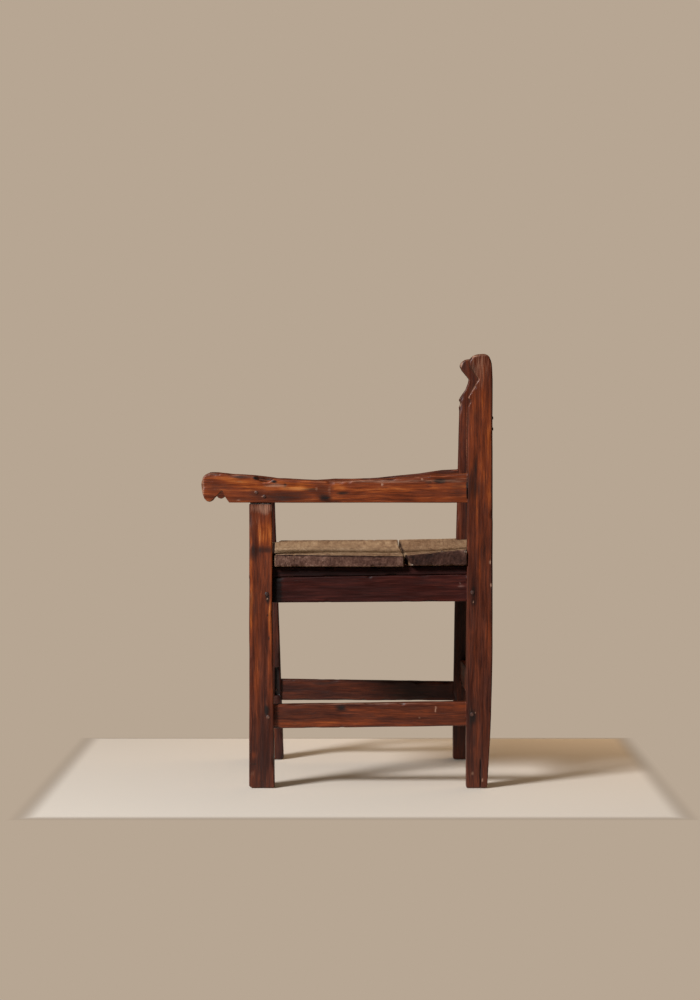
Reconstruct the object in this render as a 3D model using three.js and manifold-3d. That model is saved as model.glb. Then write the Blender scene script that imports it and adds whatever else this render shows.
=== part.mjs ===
// A joined armchair in dark hardwood: two posts with carved tops, two legs, two scrolled arms,
// a back board, a seat of two boards and the rails and stretchers that tie them together.
// Every joint is a mortise and tenon held by whittled eight-sided pegs.
// Millimetres, +Z up, the sitter faces -Y and the sitter's left is +X.
// The origin is on the floor, in the middle of the chair.

import * as THREE from 'three';
import { mergeVertices } from 'three/addons/utils/BufferGeometryUtils.js';
import Module from 'manifold-3d';

const wasm = await Module();
wasm.setup();

// Whole chair
const chairWidth = 560;
const chairDepth = 586.5;
const chairHeight = 870;

// Fits
const fitGap = 0.3;
const boardGap = 0.6;
const cutOverrun = 30;

// Rear posts
const postThickness = 46;
const postDepth = 50;
const postFootDepth = 43;
const finialHeight = 88;
const postSpreadHeight = 350;
const leftPostLean = 3.8;
const rightPostLean = 15;
const postArris = 2.5;
const postSlices = 12;
const postLeanPowerShare = 1.4;
const postSpreadPowerShare = 2.3;
// Carved top of a post: share of the post's depth from its front face, share of the height left
// above the shoulder.
const postGrooveShares = [[0, -0.19], [0.075, -0.125], [0, -0.06], [0, 0]];
const postNotchShares = [0.43, 0.42];
const postKnobShares = [[0.2, 0.56], [0.085, 0.7], [0.085, 0.83], [0.2, 0.925], [0.4, 0.975], [0.58, 1],
  [0.8, 0.98], [0.94, 0.9], [0.985, 0.76]];

// Front legs
const legThickness = 46;
const legInset = 2;
const legSetback = 96;
const legDepth = 47;
const leftLegFlare = 4.6;
const legFlareHeight = 340;
const rightLegLeanFoot = 9;
const rightLegLeanTop = 11;
const legArris = 2.5;
const legToeWear = 5;

// Arms
const armRise = 105;
const armWidth = 58;
const armScrollRise = 61;
const armDipRise = 40;
const armPostRise = 60;
const armArris = 3;
const rightArmDropFront = 7;
const rightArmDropRear = 1.5;
const armScrollLength = 86;
const armDipSetback = 258;
// Nose of an arm: share of the scroll's length from the tip, share of the scroll's height.
const armNoseTopShares = [[0, 0.59], [0.02, 0.72], [0.08, 0.81], [0.17, 0.88], [0.24, 0.99], [0.44, 1],
  [0.72, 0.93]];
const armNoseUnderShares = [[0.62, 0.01], [0.54, 0.3], [0.49, 0.405], [0.4, 0.33], [0.2, 0.045],
  [0.13, 0.04], [0.03, 0.27]];

// Seat boards
const seatHeight = 466;
const seatRise = 3;
const boardThickness = 24;
const boardJoint = 113;
const boardJointGap = 1.2;
const seatNose = 6;
const seatTail = 4;
const boardSplayLength = 46;
const boardSplayTop = 8;
const boardSplayUnder = 14;
// Heights of a board's top over the flat of the seat, at shares of its depth from the front: at
// its left end, over its middle and at its right end, as parts of the board's thickness.
const frontBoardCrownShares = [[0, 0.06, 0, 0.2], [0.12, 0.09, 0, 0.24], [0.5, 0.02, 0, 0.27],
  [0.9, -0.06, 0, 0.31], [1, -0.1, -0.03, 0.31]];
const rearBoardCrownShares = [[0, 0.13, -0.02, 0.3], [0.1, 0.19, 0.02, 0.33], [0.45, 0.33, 0.1, 0.38],
  [0.82, 0.6, 0.3, 0.46], [1, 0.64, 0.34, 0.46]];
// Places of a board's cross sections, as shares of the chair's width from its right end, with the
// share of the way from the board's middle to that end's own shape.
const boardStationShares = [[0, 1], [0.05, 0.85], [0.12, 0.6], [0.25, 0], [0.5, 0], [0.75, 0], [0.85, 0.5],
  [0.92, 0.8], [0.95, 0.9], [1, 1]];

// Seat frame
const sideRailThickness = 28;
const sideRailInset = 15;
const sideRailHeightFront = 51;
const sideRailHeightRear = 54;
const bearerHeightFront = 20;
const bearerHeightRear = 17;
const bearerThickness = 26;
const bearerInset = 18;
const crossRailHeight = 60;
const crossRailThickness = 26;
const crossRailSetback = 10;
const railArris = 2;

// Stretchers
const sideStretcherThickness = 26;
const sideStretcherInset = 14;
const leftStretcherFrontFoot = 118;
const leftStretcherRearFoot = 123.5;
const leftStretcherFrontHeight = 49;
const leftStretcherRearHeight = 49;
const rightStretcherFrontFoot = 128;
const rightStretcherRearFoot = 127;
const rightStretcherFrontHeight = 46;
const rightStretcherRearHeight = 41.5;
const rearStretcherThickness = 24;
const rearStretcherSetback = 0.6;
const rearStretcherLeftFoot = 182;
const rearStretcherLeftHeight = 50;
const rearStretcherRightFoot = 168;
const rearStretcherRightHeight = 48;

// Back board
const backBoardThickness = 22;
const backBoardSetback = 14;
const backBoardFootRise = 12;
const backBoardTopDrop = 28;
const backBoardArris = 2.5;
const backBoardReliefWidth = 4;
const backBoardReliefHeight = 52;

// Tenons
const tenonLength = 30;
const sideTenonThickness = 13;
const sideRailTenonHeight = 25;
const crossTenonThickness = 10;
const crossTenonHeight = 32;
const crossTenonShoulder = 3.5;
const stretcherTenonThickness = 12;
const stretcherTenonShoulder = 6;
const rearStretcherTenonHeight = 28;
const backTenonWall = 3;
const backTenonThickness = 12;
const backTenonShoulder = 3;
const armTenonHeight = 42;
const armTenonThickness = 16;
const armTenonShoulder = 8;
const legTenonDepth = 30;
const legTenonThickness = 20;
const legTenonShoulder = 8;
const legTenonTopRoom = 5;

// Mortises left empty where a front stretcher once was
const lostMortiseFoot = 139;
const lostMortiseHeight = 61;
const lostMortiseWidth = 10.5;
const lostMortiseDepth = 8;
const lostMortiseWall = 1.5;

// Housing cut in the left post for the corner of the rear seat board
const housingDepth = 7;
const housingHeight = 34;

// Pegs
const pegRadius = 4.6;
const pegSides = 8;
const pegTaperShare = 0.85;
const pegProud = 1;
const backPegProud = 2.5;
const pegEndRoom = 1.5;
const framePegLength = 38;
const framePegSetback = 11.5;
const crossPegLength = 37;
const armPegLength = 44;
const armPegRadius = 3.6;
const frontArmPegRise = 21;
const rearArmPegRise = 13;
const armPegEdge = 7;
const backPegRadius = 3.6;
const backPegLength = 36;
const upperBackPegDrop = 13;
const lowerBackPegDrop = 35;
const seatPegRadius = 4.6;
const seatPegDepth = 68;

// Finish of the wood
const frameFinish = { color: 0x6b3a26, roughness: 0.42, metalness: 0 };
const railFinish = { color: 0x4a231a, roughness: 0.5, metalness: 0 };
const boardFinish = { color: 0x7d6450, roughness: 0.62, metalness: 0 };
const pegFinish = { color: 0x3a2016, roughness: 0.55, metalness: 0 };

// Planes worked out from the sizes
const postOuterX = chairWidth / 2;
const postInnerX = postOuterX - postThickness;
const legOuterX = postOuterX - legInset;
const legInnerX = legOuterX - legThickness;
const noseY = -chairDepth / 2;
const backY = chairDepth / 2 - backPegProud;
const legFrontY = noseY + legSetback;
const legRearY = legFrontY + legDepth;
const postFrontY = backY - postDepth;
const postShoulderHeight = chairHeight - finialHeight;
const armHeight = seatHeight + armRise;
const seatUnderside = seatHeight - boardThickness;
const seatSpan = postFrontY - legRearY;
const sideRailOuterX = postOuterX - sideRailInset;
const sideTenonX = sideRailOuterX - sideRailThickness / 2;
const stretcherOuterX = postOuterX - sideStretcherInset;
const stretcherTenonX = stretcherOuterX - sideStretcherThickness / 2;
const backBoardFoot = armHeight + backBoardFootRise;
const backBoardTop = postShoulderHeight - backBoardTopDrop;
const backTenonLength = (postThickness - armTenonThickness) / 2 - backTenonWall;

const sides = [
  {
    name: 'left', sign: 1, postLean: leftPostLean, flare: leftLegFlare, leanFoot: 0, leanTop: 0,
    armDropFront: 0, armDropRear: 0,
    stretcherFoot: [leftStretcherFrontFoot, leftStretcherRearFoot],
    stretcherHeight: [leftStretcherFrontHeight, leftStretcherRearHeight],
  },
  {
    name: 'right', sign: -1, postLean: rightPostLean, flare: 0, leanFoot: rightLegLeanFoot,
    leanTop: rightLegLeanTop, armDropFront: rightArmDropFront, armDropRear: rightArmDropRear,
    stretcherFoot: [rightStretcherFrontFoot, rightStretcherRearFoot],
    stretcherHeight: [rightStretcherFrontHeight, rightStretcherRearHeight],
  },
];

// Solids
const pieces = new Map();

function mix(a, b, share) {
  return a + (b - a) * share;
}

function solidOf(geometry) {
  geometry.deleteAttribute('normal');
  geometry.deleteAttribute('uv');
  const merged = mergeVertices(geometry, fitGap / 1000);
  return new wasm.Manifold(new wasm.Mesh({
    numProp: 3,
    vertProperties: new Float32Array(merged.attributes.position.array),
    triVerts: new Uint32Array(merged.index.array),
  }));
}

function geometryOf(solid) {
  const mesh = solid.getMesh();
  const geometry = new THREE.BufferGeometry();
  geometry.setAttribute('position', new THREE.BufferAttribute(mesh.vertProperties, 3));
  geometry.setIndex(new THREE.BufferAttribute(mesh.triVerts, 1));
  geometry.computeVertexNormals();
  return geometry;
}

// A box between two corners, given as [low, high] for each axis.
function boxOf([x0, x1], [y0, y1], [z0, z1]) {
  const geometry = new THREE.BoxGeometry(x1 - x0, y1 - y0, z1 - z0);
  geometry.translate((x0 + x1) / 2, (y0 + y1) / 2, (z0 + z1) / 2);
  return solidOf(geometry);
}

function ordered(a, b) {
  return a < b ? [a, b] : [b, a];
}

// Range of x on one side of the chair, from an inner to an outer distance from the middle.
function sideSpan(side, inner, outer) {
  return ordered(side.sign * inner, side.sign * outer);
}

function grown([low, high], by) {
  return [low - by, high + by];
}

// An outline in the chair's side view, a list of [y, z], carried across from one x to another,
// with its edges taken off by the arris.
function prismAcross(outline, [x0, x1], arris) {
  const shape = new THREE.Shape(outline.map(([y, z]) => new THREE.Vector2(y, z)));
  const geometry = new THREE.ExtrudeGeometry(shape, {
    depth: x1 - x0 - 2 * arris,
    bevelEnabled: arris > 0,
    bevelThickness: arris,
    bevelSize: arris,
    bevelOffset: -arris,
    bevelSegments: 1,
    steps: 1,
  });
  geometry.applyMatrix4(new THREE.Matrix4().set(
    0, 0, 1, x0 + arris,
    1, 0, 0, 0,
    0, 1, 0, 0,
    0, 0, 0, 1,
  ));
  return geometry;
}

// An outline in the chair's front view, a list of [x, z], carried back from one y to another.
function prismBack(outline, [y0, y1], arris) {
  const shape = new THREE.Shape(outline.map(([x, z]) => new THREE.Vector2(x, z)));
  const geometry = new THREE.ExtrudeGeometry(shape, {
    depth: y1 - y0 - 2 * arris,
    bevelEnabled: arris > 0,
    bevelThickness: arris,
    bevelSize: arris,
    bevelOffset: -arris,
    bevelSegments: 1,
    steps: 1,
  });
  geometry.applyMatrix4(new THREE.Matrix4().set(
    1, 0, 0, 0,
    0, 0, -1, y1 - arris,
    0, 1, 0, 0,
    0, 0, 0, 1,
  ));
  return geometry;
}

function moveVertices(geometry, move) {
  const position = geometry.attributes.position;
  const point = new THREE.Vector3();
  for (let i = 0; i < position.count; i += 1) {
    point.fromBufferAttribute(position, i);
    move(point);
    position.setXYZ(i, point.x, point.y, point.z);
  }
  return geometry;
}

// Rings of points, one ring for each cross section, joined into a closed skin.
function loftOf(rings) {
  const around = rings[0].length;
  const points = rings.flat();
  const faces = [];
  for (let r = 0; r + 1 < rings.length; r += 1) {
    for (let i = 0; i < around; i += 1) {
      const a = r * around + i;
      const b = r * around + (i + 1) % around;
      faces.push(a, b, b + around, a, b + around, a + around);
    }
  }
  const capOf = (ring) => THREE.ShapeUtils.triangulateShape(
    ring.map(([, y, z]) => new THREE.Vector2(y, z)), []);
  const last = (rings.length - 1) * around;
  capOf(rings[0]).forEach(([a, b, c]) => faces.push(a, c, b));
  capOf(rings[rings.length - 1]).forEach(([a, b, c]) => faces.push(last + a, last + b, last + c));
  const geometry = new THREE.BufferGeometry();
  geometry.setAttribute('position', new THREE.Float32BufferAttribute(points.flat(), 3));
  geometry.setIndex(faces);
  return geometry;
}

// Edges of the posts and legs in the side view
function postFront(side, z) {
  const share = Math.min(Math.max(z / postShoulderHeight, 0), 1);
  return postFrontY - side.postLean * (1 - share ** postLeanPowerShare);
}

function postBack(side, z) {
  const foot = postFront(side, 0) + postFootDepth;
  const low = Math.max(1 - z / postSpreadHeight, 0);
  return backY - (backY - foot) * low ** postSpreadPowerShare;
}

function legFront(side, z) {
  return legFrontY + mix(side.leanFoot, -side.leanTop, z / armHeight);
}

function legRear(side, z) {
  return legFront(side, z) + legDepth + side.flare * Math.max(1 - z / legFlareHeight, 0);
}

function armDrop(side, y) {
  return mix(side.armDropFront, side.armDropRear, (y - noseY) / (postFrontY - noseY));
}

// Underside of the seat boards, which rises a little towards the back.
function seatUnder(y) {
  return seatUnderside + seatRise * (y - legRearY) / seatSpan;
}

// Outline of a post: up the front, round the carved top and down the back.
function postOutline(side, grow) {
  const outline = [];
  for (let i = 0; i <= postSlices; i += 1) {
    const z = (postShoulderHeight - finialHeight / 2) * i / postSlices;
    outline.push([postFront(side, z) - grow, z]);
  }
  const front = postFront(side, postShoulderHeight);
  const depth = backY - front;
  const place = ([along, up]) => [front + along * depth, postShoulderHeight + up * finialHeight];
  postGrooveShares.map(place).forEach(([y, z]) => outline.push([y - grow, z]));
  outline.push(place(postNotchShares));
  postKnobShares.map(place).forEach(([y, z]) => outline.push([y, z]));
  for (let i = postSlices; i >= 0; i -= 1) {
    const z = postShoulderHeight * i / postSlices;
    outline.push([postBack(side, z) + grow, z]);
  }
  return outline;
}

// Room that a neighbour leaves round a post, out past its outer face.
function postRoom(side, gap) {
  const span = sideSpan(side, postInnerX - gap, postOuterX + cutOverrun);
  return solidOf(prismAcross(postOutline(side, gap), span, 0));
}

function makePost(side) {
  const outline = postOutline(side, 0);
  const span = sideSpan(side, postInnerX, postOuterX);
  return solidOf(prismAcross(outline, span, postArris));
}

function legOutline(side, grow, low, high) {
  return [
    [legFront(side, low) - grow, low],
    [legRear(side, low) + grow, low],
    [legRear(side, legFlareHeight) + grow, legFlareHeight],
    [legRear(side, high) + grow, high],
    [legFront(side, high) - grow, high],
  ];
}

function legRoom(side, gap) {
  const outline = legOutline(side, gap, -cutOverrun, armHeight + cutOverrun);
  return solidOf(prismAcross(outline, sideSpan(side, legInnerX - gap, legOuterX + cutOverrun), 0));
}

// A leg is cut to the arm that it carries, and its toe is worn off.
function makeLeg(side) {
  const outline = legOutline(side, 0, 0, armHeight + legTenonShoulder);
  const front = legFront(side, 0);
  outline.splice(0, 1, [front, legToeWear], [front + legToeWear, 0]);
  const leg = solidOf(prismAcross(outline, sideSpan(side, legInnerX, legOuterX), legArris));
  const wide = sideSpan(side, legInnerX - cutOverrun, legOuterX + cutOverrun);
  const deep = grown([legFront(side, armHeight), legRear(side, armHeight)], cutOverrun);
  const over = boxOf(wide, deep, [armHeight - fitGap, armHeight + cutOverrun]);
  const slope = new THREE.Matrix4().makeShear(0, 0, 0, 0, 0, 0);
  slope.elements[6] = -(side.armDropRear - side.armDropFront) / (postFrontY - noseY);
  slope.elements[14] = -side.armDropFront - slope.elements[6] * noseY;
  return leg.subtract(over.transform(slope.elements));
}

// Side view of an arm: along its top from the nose, down at the post and back along its underside
// to the hook of the scroll.
function armOutline(rear) {
  const placeNose = ([along, up]) => [noseY + along * armScrollLength, armHeight + up * armScrollRise];
  const hollow = new THREE.SplineCurve([
    new THREE.Vector2(noseY + armScrollLength, armHeight + armScrollRise - armArris),
    new THREE.Vector2(mix(noseY + armScrollLength, noseY + armDipSetback, 1 / 2),
      armHeight + mix(armScrollRise, armDipRise, 2 / 3)),
    new THREE.Vector2(noseY + armDipSetback, armHeight + armDipRise),
    new THREE.Vector2(mix(noseY + armDipSetback, postFrontY, 1 / 2),
      armHeight + mix(armDipRise, armPostRise, 1 / 3)),
    new THREE.Vector2(rear, armHeight + armPostRise),
  ]);
  const top = [...armNoseTopShares.map(placeNose), ...hollow.getPoints(postSlices).map((p) => [p.x, p.y])];
  return [...top, [rear, armHeight], ...armNoseUnderShares.map(placeNose)];
}

// An arm narrows on its inner side from the scroll to the post.
function makeArm(side) {
  const outline = armOutline(postFrontY + cutOverrun);
  outline.reverse();
  const geometry = prismAcross(outline, [postOuterX - armWidth, postOuterX], armArris);
  moveVertices(geometry, (p) => {
    const width = mix(armWidth, postThickness, (p.y - noseY) / (postFrontY - noseY));
    p.x = postOuterX - (postOuterX - p.x) * width / armWidth;
    p.z -= armDrop(side, p.y);
  });
  const arm = solidOf(geometry).subtract(postRoom(sides[0], fitGap).transform(shiftTo(side)));
  return side.sign > 0 ? arm : arm.mirror([1, 0, 0]);
}

// The left post stands a little behind the right one at arm height, so room is made for each.
function shiftTo(side) {
  const shift = new THREE.Matrix4();
  shift.makeTranslation(0, postFront(side, armHeight) - postFront(sides[0], armHeight), 0);
  return shift.elements;
}

// A bar along the side of the chair, with its own heights at the leg and at the post.
function sideBar(side, [inner, outer], low, high, arris) {
  const front = legRearY - legDepth / 2;
  const rear = postFrontY + postDepth / 2;
  const at = (line, y) => mix(line[0], line[1], (y - legRearY) / seatSpan);
  const outline = [
    [front, at(low, front)], [rear, at(low, rear)], [rear, at(high, rear)], [front, at(high, front)],
  ];
  const bar = solidOf(prismAcross(outline, sideSpan(side, inner, outer), arris));
  return bar.subtract(legRoom(side, fitGap)).subtract(postRoom(side, fitGap));
}

// A bar across the chair between two inner faces, with its own heights at its right and left ends.
function crossBar(reach, [front, rear], low, high, arris) {
  const end = reach - fitGap;
  const over = end + cutOverrun;
  const at = (line, x) => mix(line[0], line[1], (x + end) / (2 * end));
  const outline = [
    [-over, at(low, -over)], [over, at(low, over)], [over, at(high, over)], [-over, at(high, -over)],
  ];
  const bar = solidOf(prismBack(outline, [front, rear], arris));
  const tall = grown(ordered(Math.min(...low), Math.max(...high)), cutOverrun);
  return bar.intersect(boxOf([-end, end], grown([front, rear], cutOverrun), tall));
}

// Joints
// The tenon joins its owner, and the host gets a mortise a fit gap larger all round.
function joinTenon(owner, host, x, y, z) {
  pieces.set(owner, pieces.get(owner).add(boxOf(x, y, z)));
  const mortise = boxOf(grown(x, fitGap), grown(y, fitGap), grown(z, fitGap));
  pieces.set(host, pieces.get(host).subtract(mortise));
}

// A whittled peg driven from a face along a unit direction, through each of the named pieces.
function drivePeg(name, start, direction, length, radius, proud, through) {
  const pegOf = (r, before, after) => {
    const whole = length + before + after;
    const geometry = new THREE.CylinderGeometry(r * pegTaperShare, r, whole, pegSides);
    geometry.rotateY(Math.PI / pegSides);
    geometry.translate(0, whole / 2 - before, 0);
    const turn = new THREE.Quaternion().setFromUnitVectors(new THREE.Vector3(0, 1, 0), direction);
    geometry.applyQuaternion(turn);
    geometry.translate(start.x, start.y, start.z);
    return solidOf(geometry);
  };
  pieces.set(name, pegOf(radius, proud, 0));
  const holeRadius = radius + fitGap / (Math.cos(Math.PI / pegSides) * pegTaperShare);
  const hole = pegOf(holeRadius, cutOverrun, pegEndRoom);
  through.forEach((part) => pieces.set(part, pieces.get(part).subtract(hole)));
}

function makeSideFrame(side) {
  const { name } = side;
  const leg = `${name}_front_leg`;
  const post = `${name}_rear_post`;
  pieces.set(post, makePost(side));
  pieces.set(leg, makeLeg(side));
  pieces.set(`${name}_arm`, makeArm(side));
  const bearerHigh = [seatUnderside - fitGap, seatUnderside + seatRise - fitGap];
  const bearerLow = [bearerHigh[0] - bearerHeightFront, bearerHigh[1] - bearerHeightRear];
  const railHigh = [bearerLow[0] - fitGap, bearerLow[1] - fitGap];
  const railLow = [railHigh[0] - sideRailHeightFront, railHigh[1] - sideRailHeightRear];
  const railSpan = [sideRailOuterX - sideRailThickness, sideRailOuterX];
  const rail = `${name}_side_seat_rail`;
  pieces.set(rail, sideBar(side, railSpan, railLow, railHigh, railArris));
  const bearerOuterX = postOuterX - bearerInset;
  pieces.set(`${name}_seat_bearer`,
    sideBar(side, [bearerOuterX - bearerThickness, bearerOuterX], bearerLow, bearerHigh, 0));
  const stretcher = `${name}_side_stretcher`;
  const low = side.stretcherFoot;
  const high = [low[0] + side.stretcherHeight[0], low[1] + side.stretcherHeight[1]];
  pieces.set(stretcher, sideBar(side, [stretcherOuterX - sideStretcherThickness, stretcherOuterX],
    low, high, railArris));
  joinSideBar(side, rail, sideTenonX, sideTenonThickness, railLow, [sideRailTenonHeight, sideRailTenonHeight]);
  joinSideBar(side, stretcher, stretcherTenonX, stretcherTenonThickness, low,
    side.stretcherHeight.map((height) => height - 2 * stretcherTenonShoulder));
  joinArm(side);
  cutLostMortise(side);
}

// Tenons of a side bar into the leg and the post, each held by a peg from the outer face.
function joinSideBar(side, bar, middleX, thickness, low, heights) {
  const span = sideSpan(side, middleX - thickness / 2, middleX + thickness / 2);
  const inward = new THREE.Vector3(-side.sign, 0, 0);
  const ends = [
    { host: `${side.name}_front_leg`, face: legRear, direction: -1, outerX: legOuterX, place: 'front' },
    { host: `${side.name}_rear_post`, face: postFront, direction: 1, outerX: postOuterX, place: 'rear' },
  ];
  ends.forEach(({ host, face, direction, outerX, place }, i) => {
    const base = low[i] + stretcherTenonShoulder;
    const z = [base, base + heights[i]];
    const middle = (z[0] + z[1]) / 2;
    const shoulder = face(side, middle);
    const y = ordered(shoulder + direction * tenonLength, shoulder - direction * stretcherTenonShoulder);
    joinTenon(bar, host, span, y, z);
    const start = new THREE.Vector3(side.sign * outerX, shoulder + direction * framePegSetback, middle);
    drivePeg(`${bar}_${place}_peg`, start, inward, framePegLength, pegRadius, pegProud, [host, bar]);
  });
}

// The arm is tenoned into the post, and the leg comes up through the arm and is pegged there.
function joinArm(side) {
  const arm = `${side.name}_arm`;
  const leg = `${side.name}_front_leg`;
  const post = `${side.name}_rear_post`;
  const drop = armDrop(side, postFrontY);
  const base = armHeight - drop + armTenonShoulder;
  const middle = postOuterX - postThickness / 2;
  const face = postFront(side, base);
  joinTenon(arm, post, sideSpan(side, middle - armTenonThickness / 2, middle + armTenonThickness / 2),
    [face - armTenonShoulder, face + tenonLength], [base, base + armTenonHeight]);
  const legMiddle = (legInnerX + legOuterX) / 2;
  const y0 = legFront(side, armHeight) + legTenonShoulder;
  const top = armHeight + armPostRise - armDrop(side, y0) - 2 * legTenonTopRoom;
  joinTenon(leg, arm, sideSpan(side, legMiddle - legTenonThickness / 2, legMiddle + legTenonThickness / 2),
    [y0, y0 + legTenonDepth], [armHeight - side.armDropFront - legTenonShoulder, top]);
  const inward = new THREE.Vector3(-side.sign, 0, 0);
  const start = (y, rise) => {
    const height = armHeight - armDrop(side, y) + rise;
    return new THREE.Vector3(side.sign * postOuterX, y, height);
  };
  drivePeg(`${arm}_front_peg`, start(y0 + armPegEdge, frontArmPegRise), inward,
    armPegLength, armPegRadius, pegProud, [arm, leg]);
  drivePeg(`${arm}_rear_peg`, start(y0 + legTenonDepth - armPegEdge, rearArmPegRise), inward,
    armPegLength, armPegRadius, pegProud, [arm, leg]);
}

// Slot left in the inner face of a leg, close to its rear edge.
function cutLostMortise(side) {
  const leg = `${side.name}_front_leg`;
  const rear = legRear(side, lostMortiseFoot + lostMortiseHeight) - lostMortiseWall;
  const slot = boxOf(sideSpan(side, legInnerX - cutOverrun, legInnerX + lostMortiseDepth),
    [rear - lostMortiseWidth, rear], [lostMortiseFoot, lostMortiseFoot + lostMortiseHeight]);
  pieces.set(leg, pieces.get(leg).subtract(slot));
}

// Tenons of a bar across the chair into the hosts on both sides, pegged along the given direction.
function joinCrossBar(bar, hostOf, reach, length, [y0, y1], zOf, peg) {
  sides.forEach((side) => {
    const host = hostOf(side);
    const z = zOf(side);
    joinTenon(bar, host, sideSpan(side, reach - fitGap - length / 2, reach + length), [y0, y1], z);
    peg.heights(z).forEach(([pegName, height]) => {
      const start = new THREE.Vector3(side.sign * (reach + peg.inset), peg.faceY(side, height), height);
      drivePeg(`${side.name}_${bar}_${pegName}`, start, new THREE.Vector3(0, peg.direction, 0),
        peg.length, peg.radius, peg.proud, [host, bar]);
    });
  });
}

function makeCrossRails() {
  const railHigh = (y) => seatUnder(y) - fitGap;
  const onePeg = (z) => [['peg', (z[0] + z[1]) / 2]];
  const tenonHeights = (high) => [high - crossTenonShoulder - crossTenonHeight, high - crossTenonShoulder];
  const frontSpan = [legFrontY + crossRailSetback, legFrontY + crossRailSetback + crossRailThickness];
  const frontHigh = railHigh(frontSpan[0]);
  pieces.set('front_seat_rail', crossBar(legInnerX, frontSpan,
    [frontHigh - crossRailHeight, frontHigh - crossRailHeight], [frontHigh, frontHigh], railArris));
  const frontMiddle = (frontSpan[0] + frontSpan[1]) / 2;
  joinCrossBar('front_seat_rail', (side) => `${side.name}_front_leg`, legInnerX, tenonLength,
    [frontMiddle - crossTenonThickness / 2, frontMiddle + crossTenonThickness / 2],
    () => tenonHeights(frontHigh), {
      heights: onePeg, inset: framePegSetback, faceY: legFront, direction: 1,
      length: crossPegLength, radius: pegRadius, proud: pegProud,
    });
  const rearSpan = [postFrontY + crossRailSetback, postFrontY + crossRailSetback + crossRailThickness];
  const rearHigh = railHigh(rearSpan[0]);
  pieces.set('rear_seat_rail', crossBar(postInnerX, rearSpan,
    [rearHigh - crossRailHeight, rearHigh - crossRailHeight], [rearHigh, rearHigh], railArris));
  const rearMiddle = (rearSpan[0] + rearSpan[1]) / 2;
  joinCrossBar('rear_seat_rail', (side) => `${side.name}_rear_post`, postInnerX, tenonLength,
    [rearMiddle - crossTenonThickness / 2, rearMiddle + crossTenonThickness / 2],
    () => tenonHeights(rearHigh), {
      heights: onePeg, inset: framePegSetback, faceY: postBack, direction: -1,
      length: crossPegLength, radius: pegRadius, proud: pegProud,
    });
}

function makeRearStretcher() {
  const front = postFrontY + rearStretcherSetback;
  const span = [front, front + rearStretcherThickness];
  const low = [rearStretcherRightFoot, rearStretcherLeftFoot];
  const high = [low[0] + rearStretcherRightHeight, low[1] + rearStretcherLeftHeight];
  pieces.set('rear_stretcher', crossBar(postInnerX, span, low, high, railArris));
  const middle = (span[0] + span[1]) / 2;
  joinCrossBar('rear_stretcher', (side) => `${side.name}_rear_post`, postInnerX, tenonLength,
    [middle - stretcherTenonThickness / 2, middle + stretcherTenonThickness / 2],
    (side) => {
      const index = side.sign > 0 ? 1 : 0;
      const centre = (low[index] + high[index]) / 2;
      return [centre - rearStretcherTenonHeight / 2, centre + rearStretcherTenonHeight / 2];
    }, {
      heights: (z) => [['peg', (z[0] + z[1]) / 2]], inset: framePegSetback, faceY: postBack, direction: -1,
      length: crossPegLength, radius: pegRadius, proud: pegProud,
    });
}

// The back board is let into the posts, and stands a little off the right post near its top.
function makeBackBoard() {
  const front = postFrontY + backBoardSetback;
  const span = [front, front + backBoardThickness];
  const board = crossBar(postInnerX, span, [backBoardFoot, backBoardFoot],
    [backBoardTop, backBoardTop], backBoardArris);
  const relief = boxOf([-postInnerX, fitGap + backBoardReliefWidth - postInnerX],
    grown(span, cutOverrun), [backBoardTop - backBoardReliefHeight, backBoardTop + cutOverrun]);
  pieces.set('back_board', board.subtract(relief));
  const middle = (span[0] + span[1]) / 2;
  joinCrossBar('back_board', (side) => `${side.name}_rear_post`, postInnerX, backTenonLength,
    [middle - backTenonThickness / 2, middle + backTenonThickness / 2],
    () => [backBoardFoot + backTenonShoulder, backBoardTop - backTenonShoulder], {
      heights: () => [
        ['upper_peg', backBoardTop - upperBackPegDrop], ['lower_peg', backBoardTop - lowerBackPegDrop],
      ],
      inset: backTenonLength / 2, faceY: postBack, direction: -1,
      length: backPegLength, radius: backPegRadius, proud: backPegProud,
    });
}

// Height of a board's top, given one row of its crown and a cross section's place.
function boardTop(row, [across, towardsEnd]) {
  const endColumn = across < 1 / 2 ? 3 : 1;
  return seatHeight + mix(row[2], row[endColumn], towardsEnd) * boardThickness;
}

// A seat board from its crowned ends to its worn middle, as cross sections across the chair.
function makeBoard(frontAt, rearAt, crownShares) {
  const rings = boardStationShares.map((station) => {
    const x = mix(-postOuterX, postOuterX, station[0]);
    const top = crownShares.map((row) => {
      const y = mix(frontAt(x, 1), rearAt(x, 1), row[0]);
      return [x, y, boardTop(row, station)];
    });
    const under = [rearAt(x, 0), frontAt(x, 0)].map((y) => [x, y, seatUnder(y)]);
    return [...under.reverse(), ...top.reverse()];
  });
  return loftOf(rings);
}

// The boards meet at a joint that opens in a wedge at the left end.
function boardJointAt(x, up) {
  const splay = Math.max((x - postOuterX + boardSplayLength) / boardSplayLength, 0);
  return boardJoint + boardJointGap + mix(boardSplayUnder, boardSplayTop, up) * splay;
}

function makeSeat() {
  const frontBoard = makeBoard(() => legFrontY + seatNose, () => boardJoint, frontBoardCrownShares);
  const rearBoard = makeBoard(boardJointAt, () => backY - seatTail, rearBoardCrownShares);
  const cutFor = (board, room) => sides.reduce((solid, side) => solid.subtract(room(side, boardGap)), board);
  pieces.set('front_seat_board', cutFor(solidOf(frontBoard), legRoom));
  pieces.set('rear_seat_board', cutFor(solidOf(rearBoard), postRoom));
}

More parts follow.
